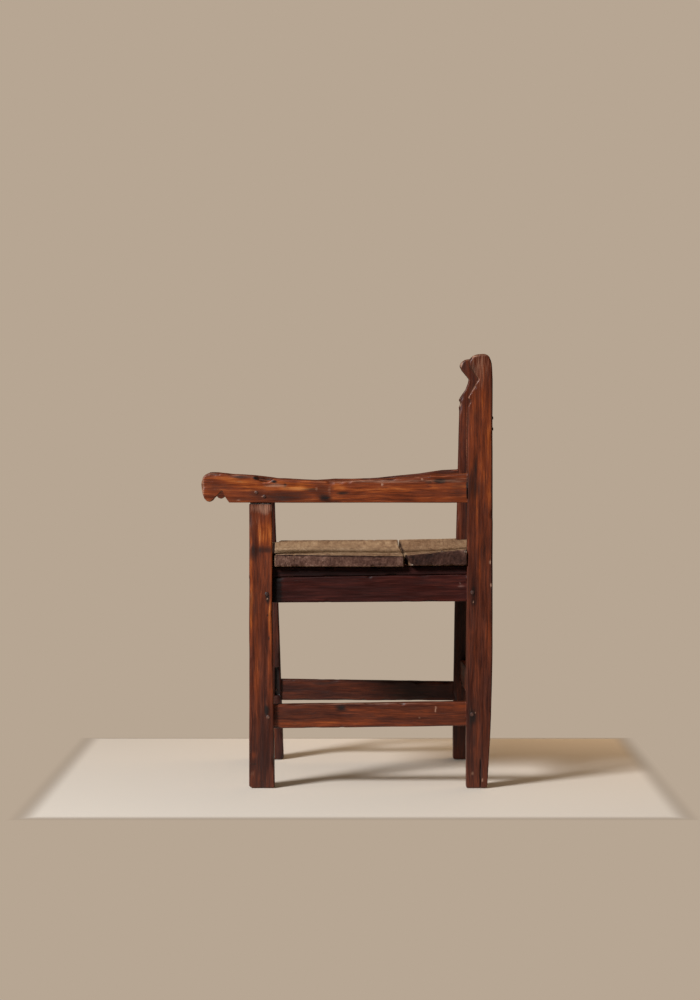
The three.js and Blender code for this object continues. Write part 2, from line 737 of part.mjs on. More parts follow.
// One peg through each end of each board and its bearer into the side rail. It stands at the
// middle row of the board's crown, in line with the cross section next to the board's end.
function pegSeat() {
  const down = new THREE.Vector3(0, 0, -1);
  const boards = [
    { board: 'front_seat_board', y: mix(legFrontY + seatNose, boardJoint, frontBoardCrownShares[2][0]),
      row: frontBoardCrownShares[2] },
    { board: 'rear_seat_board', y: mix(boardJoint, backY - seatTail, rearBoardCrownShares[2][0]),
      row: rearBoardCrownShares[2] },
  ];
  boards.forEach(({ board, y, row }) => sides.forEach((side) => {
    const station = side.sign > 0 ? boardStationShares.at(-2) : boardStationShares[1];
    const start = new THREE.Vector3(side.sign * sideTenonX, y, boardTop(row, station));
    drivePeg(`${side.name}_${board}_peg`, start, down, seatPegDepth, seatPegRadius, pegProud,
      [board, `${side.name}_seat_bearer`, `${side.name}_side_seat_rail`]);
  }));
}

// Corner of the rear seat board let into the outer edge of the left post.
function cutHousing() {
  const [left] = sides;
  const post = pieces.get('left_rear_post');
  const low = seatUnder(postFrontY);
  const face = postFront(left, low);
  const wedge = prismAcross([
    [face - cutOverrun, low], [face + housingDepth, low],
    [face, low + housingHeight], [face - cutOverrun, low + housingHeight],
  ], [postOuterX - sideRailInset, postOuterX + cutOverrun], 0);
  pieces.set('left_rear_post', post.subtract(solidOf(wedge)));
}

sides.forEach(makeSideFrame);
makeCrossRails();
makeRearStretcher();
makeBackBoard();
makeSeat();
pegSeat();
cutHousing();

// Materials and the finished group
function finishOf(name) {
  if (name.endsWith('_peg')) return pegFinish;
  if (name.endsWith('_board') && name !== 'back_board') return boardFinish;
  if (name.includes('seat_rail') || name.includes('bearer')) return railFinish;
  return frameFinish;
}

const chair = new THREE.Group();
pieces.forEach((solid, name) => {
  const mesh = new THREE.Mesh(geometryOf(solid), new THREE.MeshStandardMaterial(finishOf(name)));
  mesh.name = name;
  chair.add(mesh);
});

export default chair;
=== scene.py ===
# Rustic joined armchair in dark waxed hardwood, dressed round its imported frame.
# Metres and +Z up in Blender; the sitter faces -Y and the sitter's left is +X.
# Shapes are worked out in millimetres and turned to metres when a mesh is made.
import math
import bpy
import numpy as np
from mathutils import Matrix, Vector


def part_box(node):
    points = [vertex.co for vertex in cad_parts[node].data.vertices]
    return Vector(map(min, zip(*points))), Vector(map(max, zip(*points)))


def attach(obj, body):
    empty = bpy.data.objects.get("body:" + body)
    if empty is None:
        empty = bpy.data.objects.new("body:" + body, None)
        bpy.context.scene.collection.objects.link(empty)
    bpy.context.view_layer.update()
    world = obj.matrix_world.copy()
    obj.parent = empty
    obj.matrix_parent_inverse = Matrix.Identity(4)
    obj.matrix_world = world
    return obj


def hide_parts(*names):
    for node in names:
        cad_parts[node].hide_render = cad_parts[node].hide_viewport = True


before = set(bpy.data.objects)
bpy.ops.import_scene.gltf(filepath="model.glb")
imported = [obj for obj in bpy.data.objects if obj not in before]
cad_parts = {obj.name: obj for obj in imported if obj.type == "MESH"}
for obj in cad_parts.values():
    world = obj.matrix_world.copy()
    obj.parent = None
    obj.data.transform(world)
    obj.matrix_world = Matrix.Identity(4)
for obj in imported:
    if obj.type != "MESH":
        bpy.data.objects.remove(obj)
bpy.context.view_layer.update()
mm = 0.001
sides = ("left", "right")
print("frame loaded")


# small tools

def spanOf(node):
    # a node's box in millimetres: [[low x, high x], [low y, high y], [low z, high z]]
    low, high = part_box(node)
    return [[low[i] / mm, high[i] / mm] for i in range(3)]


def colourOf(code):
    # sRGB hex to linear: value / 12.92 up to 0.04045, above it ((value + 0.055) / 1.055)^2.4
    parts = [int(code[i:i + 2], 16) / 255 for i in (1, 3, 5)]
    return (*[p / 12.92 if p <= 0.04045 else ((p + 0.055) / 1.055) ** 2.4 for p in parts], 1.0)


def smoothStep(x, low, high):
    # 3t^2 - 2t^3, with t from 0 at low to 1 at high
    t = np.clip((x - low) / (high - low), 0, 1)
    return t * t * (3 - 2 * t)


def noise(points, size, seed):
    # value noise from -1 to 1: hashed values at the corners of cells of this size in millimetres,
    # blended along each axis with 6t^5 - 15t^4 + 10t^3
    place = points / np.asarray(size, float) + seed * 17.31
    cell = np.floor(place).astype(np.int64)
    t = place - cell
    t = t * t * t * (t * (t * 6 - 15) + 10)
    total = np.zeros(points.shape[:-1])
    for corner in range(8):
        step = (corner & 1, corner >> 1 & 1, corner >> 2)
        n = ((cell[..., 0] + step[0]) * 73856093) ^ ((cell[..., 1] + step[1]) * 19349663)
        n = (n ^ ((cell[..., 2] + step[2]) * 83492791) ^ (seed * 7919 + 13)) & 0x7FFFFFFF
        n = ((n ^ (n >> 13)) * 1274126177) & 0x7FFFFFFF
        n = ((n ^ (n >> 15)) * 2654435) & 0x7FFFFFFF
        weight = np.ones_like(total)
        for axis in range(3):
            weight = weight * (t[..., axis] if step[axis] else 1 - t[..., axis])
        total += weight * n
    return total / 0x7FFFFFFF * 2 - 1


def layered(points, size, seed, layers=3):
    # noise added to itself at half the size and half the height, layer after layer
    size = np.asarray(size, float)
    total = sum(noise(points, size / 2 ** i, seed + i * 31) / 2 ** i for i in range(layers))
    return total / (2 - 2 / 2 ** layers)


def alongGrain(axis, along, across):
    # size of a noise cell that is long in the direction of the grain
    return [along if i == axis else across for i in range(3)]


# timbers as grids

cornerSteps = np.array([0, 0.6, 1.3, 2.2, 3.4, 5])  # places of the first points from a corner


def sidePlaces(cells, width, close=()):
    # Points along one side of a section: fixed steps at both corners, even shares between them, and
    # a close row of points round each given place. A place is steps + (width - 2 last step) * share.
    last = cornerSteps[-1]
    inner = np.linspace(0, 1, cells + 1)
    steps = [cornerSteps[:-1], np.full(cells + 1, last), 2 * last - cornerSteps[-2::-1]]
    shares = [np.zeros(len(cornerSteps) - 1), inner, np.ones(len(cornerSteps) - 1)]
    for place in close:
        offsets = np.linspace(-1.8, 1.8, 9)
        share = (place - last) / (width - 2 * last)
        steps.append(last + offsets)
        shares.append(np.full(offsets.size, share))
    steps, shares = np.concatenate(steps), np.concatenate(shares)
    order = np.argsort(steps + (width - 2 * last) * shares)
    return steps[order], shares[order]


def spreadAlong(places, width):
    # places for each station: scale * steps + (width - 2 last step * scale) * share, with the steps
    # scaled down where the side is under four of the last step wide
    steps, shares = places
    scale = np.minimum(1, width / (4 * cornerSteps[-1]))[:, None]
    return np.sort(scale * steps + (width[:, None] - 2 * cornerSteps[-1] * scale) * shares, axis=1)


def roundedSide(distance, width, radiusLow, radiusHigh):
    # Points on a straight side whose two ends run into quarter circles: up to the radius from a
    # corner, a point lies on the arc, from its middle at 45 degrees to where it meets the side.
    def arc(a, r):
        angle = math.pi / 4 * (1 + np.clip(a / r, 0, 1))
        return r - r * np.cos(angle), np.where(a < r, r - r * np.sin(angle), 0)
    r1, r2 = radiusLow[:, None], radiusHigh[:, None]
    back = width[:, None] - distance
    alongLow, insetLow = arc(distance, r1)
    alongHigh, insetHigh = arc(back, r2)
    along = np.where(distance < r1, alongLow, np.where(back < r2, width[:, None] - alongHigh, distance))
    return along, insetLow + insetHigh


def sectionRings(axis, stations, edges, radii, places):
    # One ring of points for each station: a rectangle between four edges with rounded corners.
    pLow, pHigh, qLow, qHigh = edges
    widthP, widthQ = pHigh - pLow, qHigh - qLow
    limit = 0.48 * np.minimum(widthP, widthQ)
    lowLow, highLow, highHigh, lowHigh = [np.clip(r, 0.05, np.maximum(limit, 0.06)) for r in radii]
    placesP, placesQ = spreadAlong(places[0], widthP), spreadAlong(places[1], widthQ)
    bottom, insetB = roundedSide(placesP, widthP, lowLow, highLow)
    top, insetT = roundedSide(placesP, widthP, lowHigh, highHigh)
    left, insetL = roundedSide(placesQ, widthQ, lowLow, lowHigh)
    right, insetR = roundedSide(placesQ, widthQ, highLow, highHigh)
    pl, ph, ql, qh = (e[:, None] for e in (pLow, pHigh, qLow, qHigh))
    p = [pl + bottom, ph - insetR, (pl + top)[:, ::-1], (pl + insetL)[:, ::-1]]
    q = [ql + insetB, ql + right, (qh - insetT)[:, ::-1], (ql + left)[:, ::-1]]
    p, q = (np.concatenate([part[:, :-1] for part in side], axis=1) for side in (p, q))
    points = np.empty((*p.shape, 3))
    points[..., axis] = stations[:, None]
    points[..., (axis + 1) % 3] = p
    points[..., (axis + 2) % 3] = q
    return points


def ringNormals(points):
    # cross product of the way round a ring and the way along the timber
    across = np.roll(points, -1, axis=1) - np.roll(points, 1, axis=1)
    along = np.gradient(points, axis=0)
    normal = np.cross(across, along)
    return normal / np.maximum(np.linalg.norm(normal, axis=-1, keepdims=True), 1e-9)


def capGrid(ring, cellsP, cellsQ, placesP, placesQ):
    # A grid over the end of a timber, stretched between the four sides of its last ring: the sum of
    # the two straight blends between opposite sides, less the blend between the corners.
    u, v = placesP[:, None, None], placesQ[None, :, None]
    bottom = ring[:cellsP + 1][:, None]
    right = ring[cellsP:cellsP + cellsQ + 1][None]
    top = ring[cellsP + cellsQ:2 * cellsP + cellsQ + 1][::-1][:, None]
    left = np.concatenate([ring[2 * cellsP + cellsQ:], ring[:1]])[::-1][None]
    corners = ((1 - u) * (1 - v) * bottom[0] + u * (1 - v) * bottom[-1]
               + (1 - u) * v * top[0] + u * v * top[-1])
    return (1 - v) * bottom + v * top + (1 - u) * left + u * right - corners


def ringFaces(count, around):
    # quads between each ring of points and the next
    first = np.arange(around)
    after = (first + 1) % around
    rows = np.arange(count - 1)[:, None] * around
    quads = np.stack([rows + first, rows + after, rows + around + after, rows + around + first], -1)
    return quads.reshape(-1, 4)


def addMesh(name, points, faces):
    # a smooth mesh of faces that all have the same number of corners
    mesh = bpy.data.meshes.new(name)
    faces = np.asarray(faces, np.int32)
    mesh.vertices.add(len(points))
    mesh.vertices.foreach_set("co", (points * mm).astype(np.float32).ravel())
    mesh.loops.add(faces.size)
    mesh.loops.foreach_set("vertex_index", faces.ravel())
    mesh.polygons.add(len(faces))
    mesh.polygons.foreach_set("loop_start", np.arange(0, faces.size, faces.shape[1], dtype=np.int32))
    mesh.polygons.foreach_set("use_smooth", np.ones(len(faces), bool))
    mesh.update(calc_edges=True)
    mesh.validate()
    piece = bpy.data.objects.new(name, mesh)
    bpy.context.scene.collection.objects.link(piece)
    return piece


def addPaint(piece, layers):
    # one value for each point and layer, which the material reads by the layer's name
    for name, values in layers.items():
        layer = piece.data.attributes.new(name, "FLOAT", "POINT")
        layer.data.foreach_set("value", values.astype(np.float32))


def faceMarks(x, depth, rows):
    # Marks that share their place and reach along X. A row gives y, z, the sizes along both, the
    # amount, and the share of fraying if it isn't 1. A row that is a full mark stays as it is.
    return [row if isinstance(row[0], tuple) else ((x, *row[:2]), (depth, *row[2:4]), *row[4:])
            for row in rows]


def markAmount(points, mark, axis, seed):
    # A soft spot: its middle, its sizes, its amount, and the share of fraying. The amount falls off
    # as exp(-distance^2.8), with distance in shares of the sizes, and is frayed by noise of its own
    # size and by streaks along the grain.
    centre, size = np.array(mark[0], float), np.array(mark[1], float)
    far = (((points - centre) / size) ** 2).sum(-1)
    fray = mark[3] if len(mark) > 3 else 1
    frayed = far * (1 + 0.5 * fray * layered(points, size * 0.9 + 1.5, seed, 2))
    frayed = frayed * (1 + 0.6 * fray * noise(points, alongGrain(axis, 45, 4), seed + 1))
    return mark[2] * np.exp(-np.maximum(frayed, 0) ** 1.4)


# what a look may change: spacing of the grid, depths of relief and number of knocks, then shift of
# the tone, height of its broad patches, shares of stain, of stain in what is carved and of pale wear,
# then marks of tone, dark marks and pale marks, some of them painted shade, painted light or a
# painted highlight, and a factor for the arris radii along the timber
plainTimber = {
    "cell": 2.4, "hewn": 0.7, "ridge": 0.25, "endRelief": 0.5, "knocks": 26,
    "tone": 0, "cloud": 0.08, "stain": 1, "cutStain": 0.8, "wear": 0.35,
    "warm": (), "dark": (), "chips": (), "rounder": None,
}


def timber(name, node, axis, stations, edges, look, bend=None, carve=None, close=((), ())):
    # A hewn timber: rings of points between four edges, an end grid at each end, then relief taken
    # off inwards, and layers of paint for the material. Arris radii vary by 1 + 0.45 * noise along it.
    look = {**plainTimber, **look}
    stations = np.unique(np.asarray(stations, float))
    edges = [np.broadcast_to(np.asarray(e, float), stations.shape) for e in edges(stations)]
    seed = look["seed"]
    widthP, widthQ = (edges[1] - edges[0]).max(), (edges[3] - edges[2]).max()
    cellsP = max(4, round((widthP - 2 * cornerSteps[-1]) / look["cell"]))
    cellsQ = max(4, round((widthQ - 2 * cornerSteps[-1]) / look["cell"]))
    places = [sidePlaces(cellsP, widthP, close[0]), sidePlaces(cellsQ, widthQ, close[1])]
    cellsP, cellsQ = len(places[0][0]) - 1, len(places[1][0]) - 1
    wander = stations[:, None] * np.array([[1.0, 0, 0]])
    radii = []
    for corner in range(4):
        wear = layered(wander, [45, 1, 1], seed + corner * 7, 3)
        rounder = look["rounder"](stations) if look["rounder"] else 1
        radii.append(look["arris"][corner] * (1 + 0.45 * wear) * rounder)
    rings = sectionRings(axis, stations, edges, radii, places)
    if bend:
        rings = bend(rings)
    normals = ringNormals(rings)
    count, around = rings.shape[:2]
    shares = [(step + (width - 2 * cornerSteps[-1]) * share) / width
              for (step, share), width in zip(places, (widthP, widthQ))]
    caps = [capGrid(rings[end], cellsP, cellsQ, *shares)[1:-1, 1:-1].reshape(-1, 3) for end in (0, -1)]
    outwards = np.zeros((2, 3))
    outwards[0, axis], outwards[1, axis] = -1, 1
    points = np.concatenate([rings.reshape(-1, 3), *caps])
    flat = [np.tile(way, (len(cap), 1)) for way, cap in zip(outwards, caps)]
    normals = np.concatenate([normals.reshape(-1, 3), *flat])
    # relief: hewn faces, ridges of the grain, the piece's own carving, knocks along the arrises, each
    # depth * exp(-distance^4), and rough end grain
    hewn = 0.5 + 0.5 * layered(points, alongGrain(axis, 70, 24), seed + 3, 2)
    ridge = 0.5 + 0.5 * layered(points, alongGrain(axis, 55, 4.5), seed + 5, 2)
    depth = look["hewn"] * hewn + look["ridge"] * ridge
    cut = carve(points, normals) if carve else np.zeros(len(points))
    rng = np.random.default_rng(seed)
    square = np.abs(normals).max(-1)
    onArris = np.flatnonzero((square < 0.93) & (np.arange(len(points)) < count * around))
    knocks = np.zeros(len(points))
    for centre in points[rng.choice(onArris, look["knocks"])]:
        size = np.array(alongGrain(axis, rng.uniform(4, 16), rng.uniform(2.5, 5)))
        far = (((points - centre) / size) ** 2).sum(-1)
        knocks = np.maximum(knocks, rng.uniform(0.5, 1.7) * np.exp(-far ** 2))
    endGrain = smoothStep(np.abs(normals[:, axis]), 0.1, 0.4)
    rough = 0.5 + 0.5 * layered(points, [5, 5, 5], seed + 9, 3)
    moved = points - normals * (depth + cut + knocks + endGrain * look["endRelief"] * rough)[:, None]
    # paint: tone along the grain, stain in patches and in what is carved, pale wear along the arrises
    tone = look["tone"] + 0.13 * layered(points, alongGrain(axis, 240, 15), seed + 11, 3)
    tone += 0.08 * layered(points, alongGrain(axis, 110, 7), seed + 13, 2) - 0.12 * knocks
    tone += look["cloud"] * layered(points, [55, 55, 55], seed + 15, 3)
    stain = 0.5 * smoothStep(layered(points, alongGrain(axis, 90, 26), seed + 17, 3), 0.15, 0.75)
    stain = stain * look["stain"] + smoothStep(cut, 0.6, 3.5) * look["cutStain"]
    worn = smoothStep(0.93 - square, -0.01, 0.12) * (1 - endGrain)
    pale = worn * smoothStep(layered(points, alongGrain(axis, 40, 9), seed + 19, 3), -0.35, 0.5)
    pale *= 0.65 * look["wear"]
    # marks shift the tone, darken into the stain and lighten into the pale wear; on some pieces they are
    # painted shade, painted light or a painted highlight
    for i, mark in enumerate(look["warm"]):
        tone += markAmount(points, mark, axis, seed + 40 + i)
    for i, mark in enumerate(look["dark"]):
        stain = np.maximum(stain, markAmount(points, mark, axis, seed + 80 + i))
    for i, mark in enumerate(look["chips"]):
        pale = np.maximum(pale, markAmount(points, mark, axis, seed + 120 + i))
    # faces: quads along the rings and over the two end grids
    faces = [ringFaces(count, around)]
    inside = (cellsP - 1) * (cellsQ - 1)
    for end in range(2):
        index = np.empty((cellsP + 1, cellsQ + 1), int)
        start = end * (count - 1) * around
        index[:, 0] = start + np.arange(cellsP + 1)
        index[-1, :] = start + cellsP + np.arange(cellsQ + 1)
        index[:, -1] = start + cellsP + cellsQ + cellsP - np.arange(cellsP + 1)
        index[0, 1:] = start + (2 * cellsP + cellsQ + cellsQ - np.arange(1, cellsQ + 1)) % around
        middle = np.arange(inside).reshape(cellsP - 1, cellsQ - 1)
        index[1:-1, 1:-1] = count * around + end * inside + middle
        quads = np.stack([index[:-1, :-1], index[1:, :-1], index[1:, 1:], index[:-1, 1:]], -1)
        faces.append(quads.reshape(-1, 4)[:, ::1 if end else -1])
    piece = addMesh(name, moved, np.concatenate(faces))
    addPaint(piece, {"tone": tone, "stain": np.clip(stain, 0, 1), "pale": np.clip(pale, 0, 1),
                     "endGrain": endGrain})
    piece.data.materials.append(woodFor(look["wood"], axis))
    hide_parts(node)
    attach(piece, "root")


def evenStations(low, high, step):
    # places from low to high, as near to the step apart as fits
    return np.linspace(low, high, max(2, round((high - low) / step) + 1))


def roundedEnds(s, low, high, radiusLow, radiusHigh):
    # how far a section draws in near a rounded end: radius - sqrt(radius^2 - (radius - distance)^2)
    def inset(distance, radius):
        short = np.clip(radius - distance, 0, radius)
        return radius - np.sqrt(np.maximum(radius ** 2 - short ** 2, 0))
    return inset(s - low, radiusLow) + inset(high - s, radiusHigh)


endSteps = np.array([0, 0.15, 0.5, 1.1, 1.9, 2.9, 4.2])  # places of the first rings from an end
sharp = 0.001  # radius of an end that isn't rounded


# woods

def addNode(tree, kind, settings=None, links=None):
    # a shader node with its sockets, properties and colour stops set, and its links made
    node = tree.nodes.new("ShaderNode" + kind)
    for key, value in (settings or {}).items():
        if key == "stops":
            for place, code in value[1:-1]:
                node.color_ramp.elements.new(place)
            for element, (place, code) in zip(node.color_ramp.elements, value):
                element.position, element.color = place, colourOf(code)
        elif isinstance(key, int) or key in node.inputs:
            node.inputs[key].default_value = value
        else:
            setattr(node, key, value)
    for key, source in (links or {}).items():
        tree.links.new(source.outputs[0] if hasattr(source, "outputs") else source, node.inputs[key])
    return node


# Grain layers: width across the grain in millimetres, length in widths, detail. Real pores are
# about 0.2 mm wide: they are drawn 0.7 to 1.3 mm wide so that they show.
finishes = {
    # tropical hardwood, hewn, planed and waxed for generations: satin, red brown with darker streaks
    "waxedHardwood": {
        "level": 0.44, "rough": (0.3, 0.46), "specular": 0.32, "bump": 0.4, "drift": 9,
        "layers": {"broad": (17, 11, 3), "streak": (5, 15, 4), "fine": (2, 22, 3), "pore": (1.2, 24, 2)},
        "shares": {"broad": 0.5, "streak": 0.62, "fine": 0.6},
        "stops": [(0, "#250f0b"), (0.2, "#34160e"), (0.42, "#532513"), (0.62, "#713214"), (0.82, "#934b1c"),
                  (1, "#b06c36")],
        "endStops": [(0, "#2b150e"), (0.5, "#6b412d"), (1, "#a67c5e")],
        "stain": "#1b120f", "pale": "#a07a63", "poreShare": 0.5,
    },
    # the same wood where hands don't reach it: darker, more purple
    "darkHardwood": {
        "level": 0.3, "rough": (0.36, 0.55), "specular": 0.18, "bump": 0.4, "drift": 6,
        "layers": {"broad": (15, 14, 3), "streak": (5, 18, 4), "fine": (2, 26, 3), "pore": (1.2, 24, 2)},
        "shares": {"broad": 0.45, "streak": 0.6, "fine": 0.55},
        "stops": [(0, "#180806"), (0.3, "#34120d"), (0.6, "#552115"), (1, "#7f4129")],
        "endStops": [(0, "#20100c"), (0.5, "#4b2c20"), (1, "#7d5a48")],
        "stain": "#120907", "pale": "#8d7166", "poreShare": 0.5,
    },
    # unwaxed planks worn by sitting: matt, grey beige on top, end grain purple grey with checks
    "wornPlank": {
        "level": 0.52, "rough": (0.62, 0.85), "specular": 0.12, "bump": 0.6, "drift": 4,
        "layers": {"broad": (20, 9, 3), "streak": (5.5, 16, 4), "fine": (2.2, 22, 3), "pore": (1.3, 16, 2)},
        "shares": {"broad": 0.7, "streak": 0.75, "fine": 0.6},
        "stops": [(0, "#48311f"), (0.3, "#71543c"), (0.55, "#8f7256"), (0.8, "#a58868"), (1, "#b89c7e")],
        "endStops": [(0, "#190d09"), (0.4, "#432b22"), (0.7, "#664a3d"), (1, "#9d8170")],
        "stain": "#22120d", "pale": "#b9a692", "poreShare": 0.35,
    },
    # whittled pegs, dark with wax and dirt
    "whittledPeg": {
        "level": 0.3, "rough": (0.35, 0.5), "specular": 0.4, "bump": 0.4, "drift": 1,
        "layers": {"broad": (5, 6, 2), "streak": (2, 10, 3), "fine": (1, 10, 2), "pore": (0.7, 6, 1)},
        "shares": {"broad": 0.3, "streak": 0.4, "fine": 0.4},
        "stops": [(0, "#1d0e0a"), (0.4, "#41241a"), (0.75, "#6d4532"), (1, "#96705a")],
        "endStops": [(0, "#1d0e0a"), (1, "#7c5a48")],
        "stain": "#120b0a", "pale": "#b09a8c", "poreShare": 0.4,
    },
}


def makeWood(kind, axis):
    # Four layers of noise, long with the grain, are added to the painted tone and read through the
    # colour stops. Pores darken it, stain and worn places break up with the streaks, and streaks and
    # pores give the gloss and the bump.
    finish = finishes[kind]
    material = bpy.data.materials.new(kind + "XYZ"[axis])
    material.use_nodes = True
    tree = material.node_tree
    tree.nodes.clear()
    place = addNode(tree, "TexCoord").outputs["Object"]
    tone, stain, pale, endGrain = (
        addNode(tree, "Attribute", {"attribute_name": name}).outputs["Fac"]
        for name in ("tone", "stain", "pale", "endGrain"))
    push = [finish["drift"] * mm] * 3
    push[axis] = 0
    slow = addNode(tree, "TexNoise", {"Scale": 1 / (110 * mm), "Detail": 3, "Roughness": 0.45},
                   {"Vector": place})
    drifted = addNode(tree, "VectorMath", {"operation": "MULTIPLY_ADD", 1: push},
                      {0: slow.outputs["Color"], 2: place})
    layer = {}
    for name, (width, length, detail) in finish["layers"].items():
        scale = [1 / (width * mm)] * 3
        scale[axis] = 1 / (width * length * mm)
        mapping = addNode(tree, "Mapping", {"Scale": scale}, {"Vector": drifted})
        layer[name] = addNode(tree, "TexNoise", {
            "Scale": 1, "Detail": detail, "Roughness": 0.6, "Distortion": 0.35}, {"Vector": mapping})
    frayed = addNode(tree, "Math", {"operation": "MULTIPLY_ADD", 1: 1.6, 2: 0.2},
                     {0: layer["streak"]})
    toned = addNode(tree, "Math", {"operation": "MULTIPLY"}, {0: tone, 1: frayed})
    shares = finish["shares"]
    level = finish["level"] - sum(shares.values()) / 2
    value = addNode(tree, "Math", {"operation": "ADD", 1: level}, {0: toned})
    for name, share in shares.items():
        value = addNode(tree, "Math", {"operation": "MULTIPLY_ADD", 1: share},
                        {0: layer[name], 2: value})
    side = addNode(tree, "ValToRGB", {"stops": finish["stops"]}, {"Fac": value})
    end = addNode(tree, "ValToRGB", {"stops": finish["endStops"]}, {"Fac": value})
    colour = addNode(tree, "Mix", {"data_type": "RGBA"},
                     {0: endGrain, 6: side, 7: end}).outputs[2]
    poreMask = addNode(tree, "MapRange", {
        "From Min": 0.57, "From Max": 0.7, "To Max": finish["poreShare"]}, {"Value": layer["pore"]})
    stainSum = addNode(tree, "Math", {"operation": "MULTIPLY_ADD", 1: 0.9},
                       {0: layer["streak"], 2: stain})
    stainMask = addNode(tree, "MapRange", {"From Min": 0.62, "From Max": 1.15}, {"Value": stainSum})
    for mask in (poreMask, stainMask):
        colour = addNode(tree, "Mix", {"data_type": "RGBA", 7: colourOf(finish["stain"])},
                         {0: mask, 6: colour}).outputs[2]
    paleSum = addNode(tree, "Math", {"operation": "ADD"}, {0: layer["fine"], 1: pale})
    paleMask = addNode(tree, "MapRange", {"From Min": 0.68, "From Max": 1.3}, {"Value": paleSum})
    colour = addNode(tree, "Mix", {"data_type": "RGBA", 7: colourOf(finish["pale"])},
                     {0: paleMask, 6: colour}).outputs[2]
    smooth, matt = finish["rough"]
    rough = addNode(tree, "MapRange", {
        "From Min": 0.35, "From Max": 0.65, "To Min": smooth, "To Max": matt}, {"Value": layer["streak"]})
    height = addNode(tree, "Math", {"operation": "MULTIPLY_ADD", 1: -0.8},
                     {0: poreMask, 2: layer["fine"]})
    bump = addNode(tree, "Bump", {"Strength": finish["bump"], "Distance": 0.5 * mm},
                   {"Height": height})
    shader = addNode(tree, "BsdfPrincipled", {
        "IOR": 1.5, "Specular IOR Level": finish["specular"]},
        {"Base Color": colour, "Roughness": rough, "Normal": bump})
    addNode(tree, "OutputMaterial", None, {"Surface": shader})
    return material


woods = {}


def woodFor(kind, axis):
    # one material for each finish and each direction of the grain
    if (kind, axis) not in woods:
        woods[kind, axis] = makeWood(kind, axis)
    return woods[kind, axis]


frameWood = {"wood": "waxedHardwood", "slot": "frame_wood"}
railWood = {"wood": "darkHardwood", "slot": "rail_wood"}


# rear posts

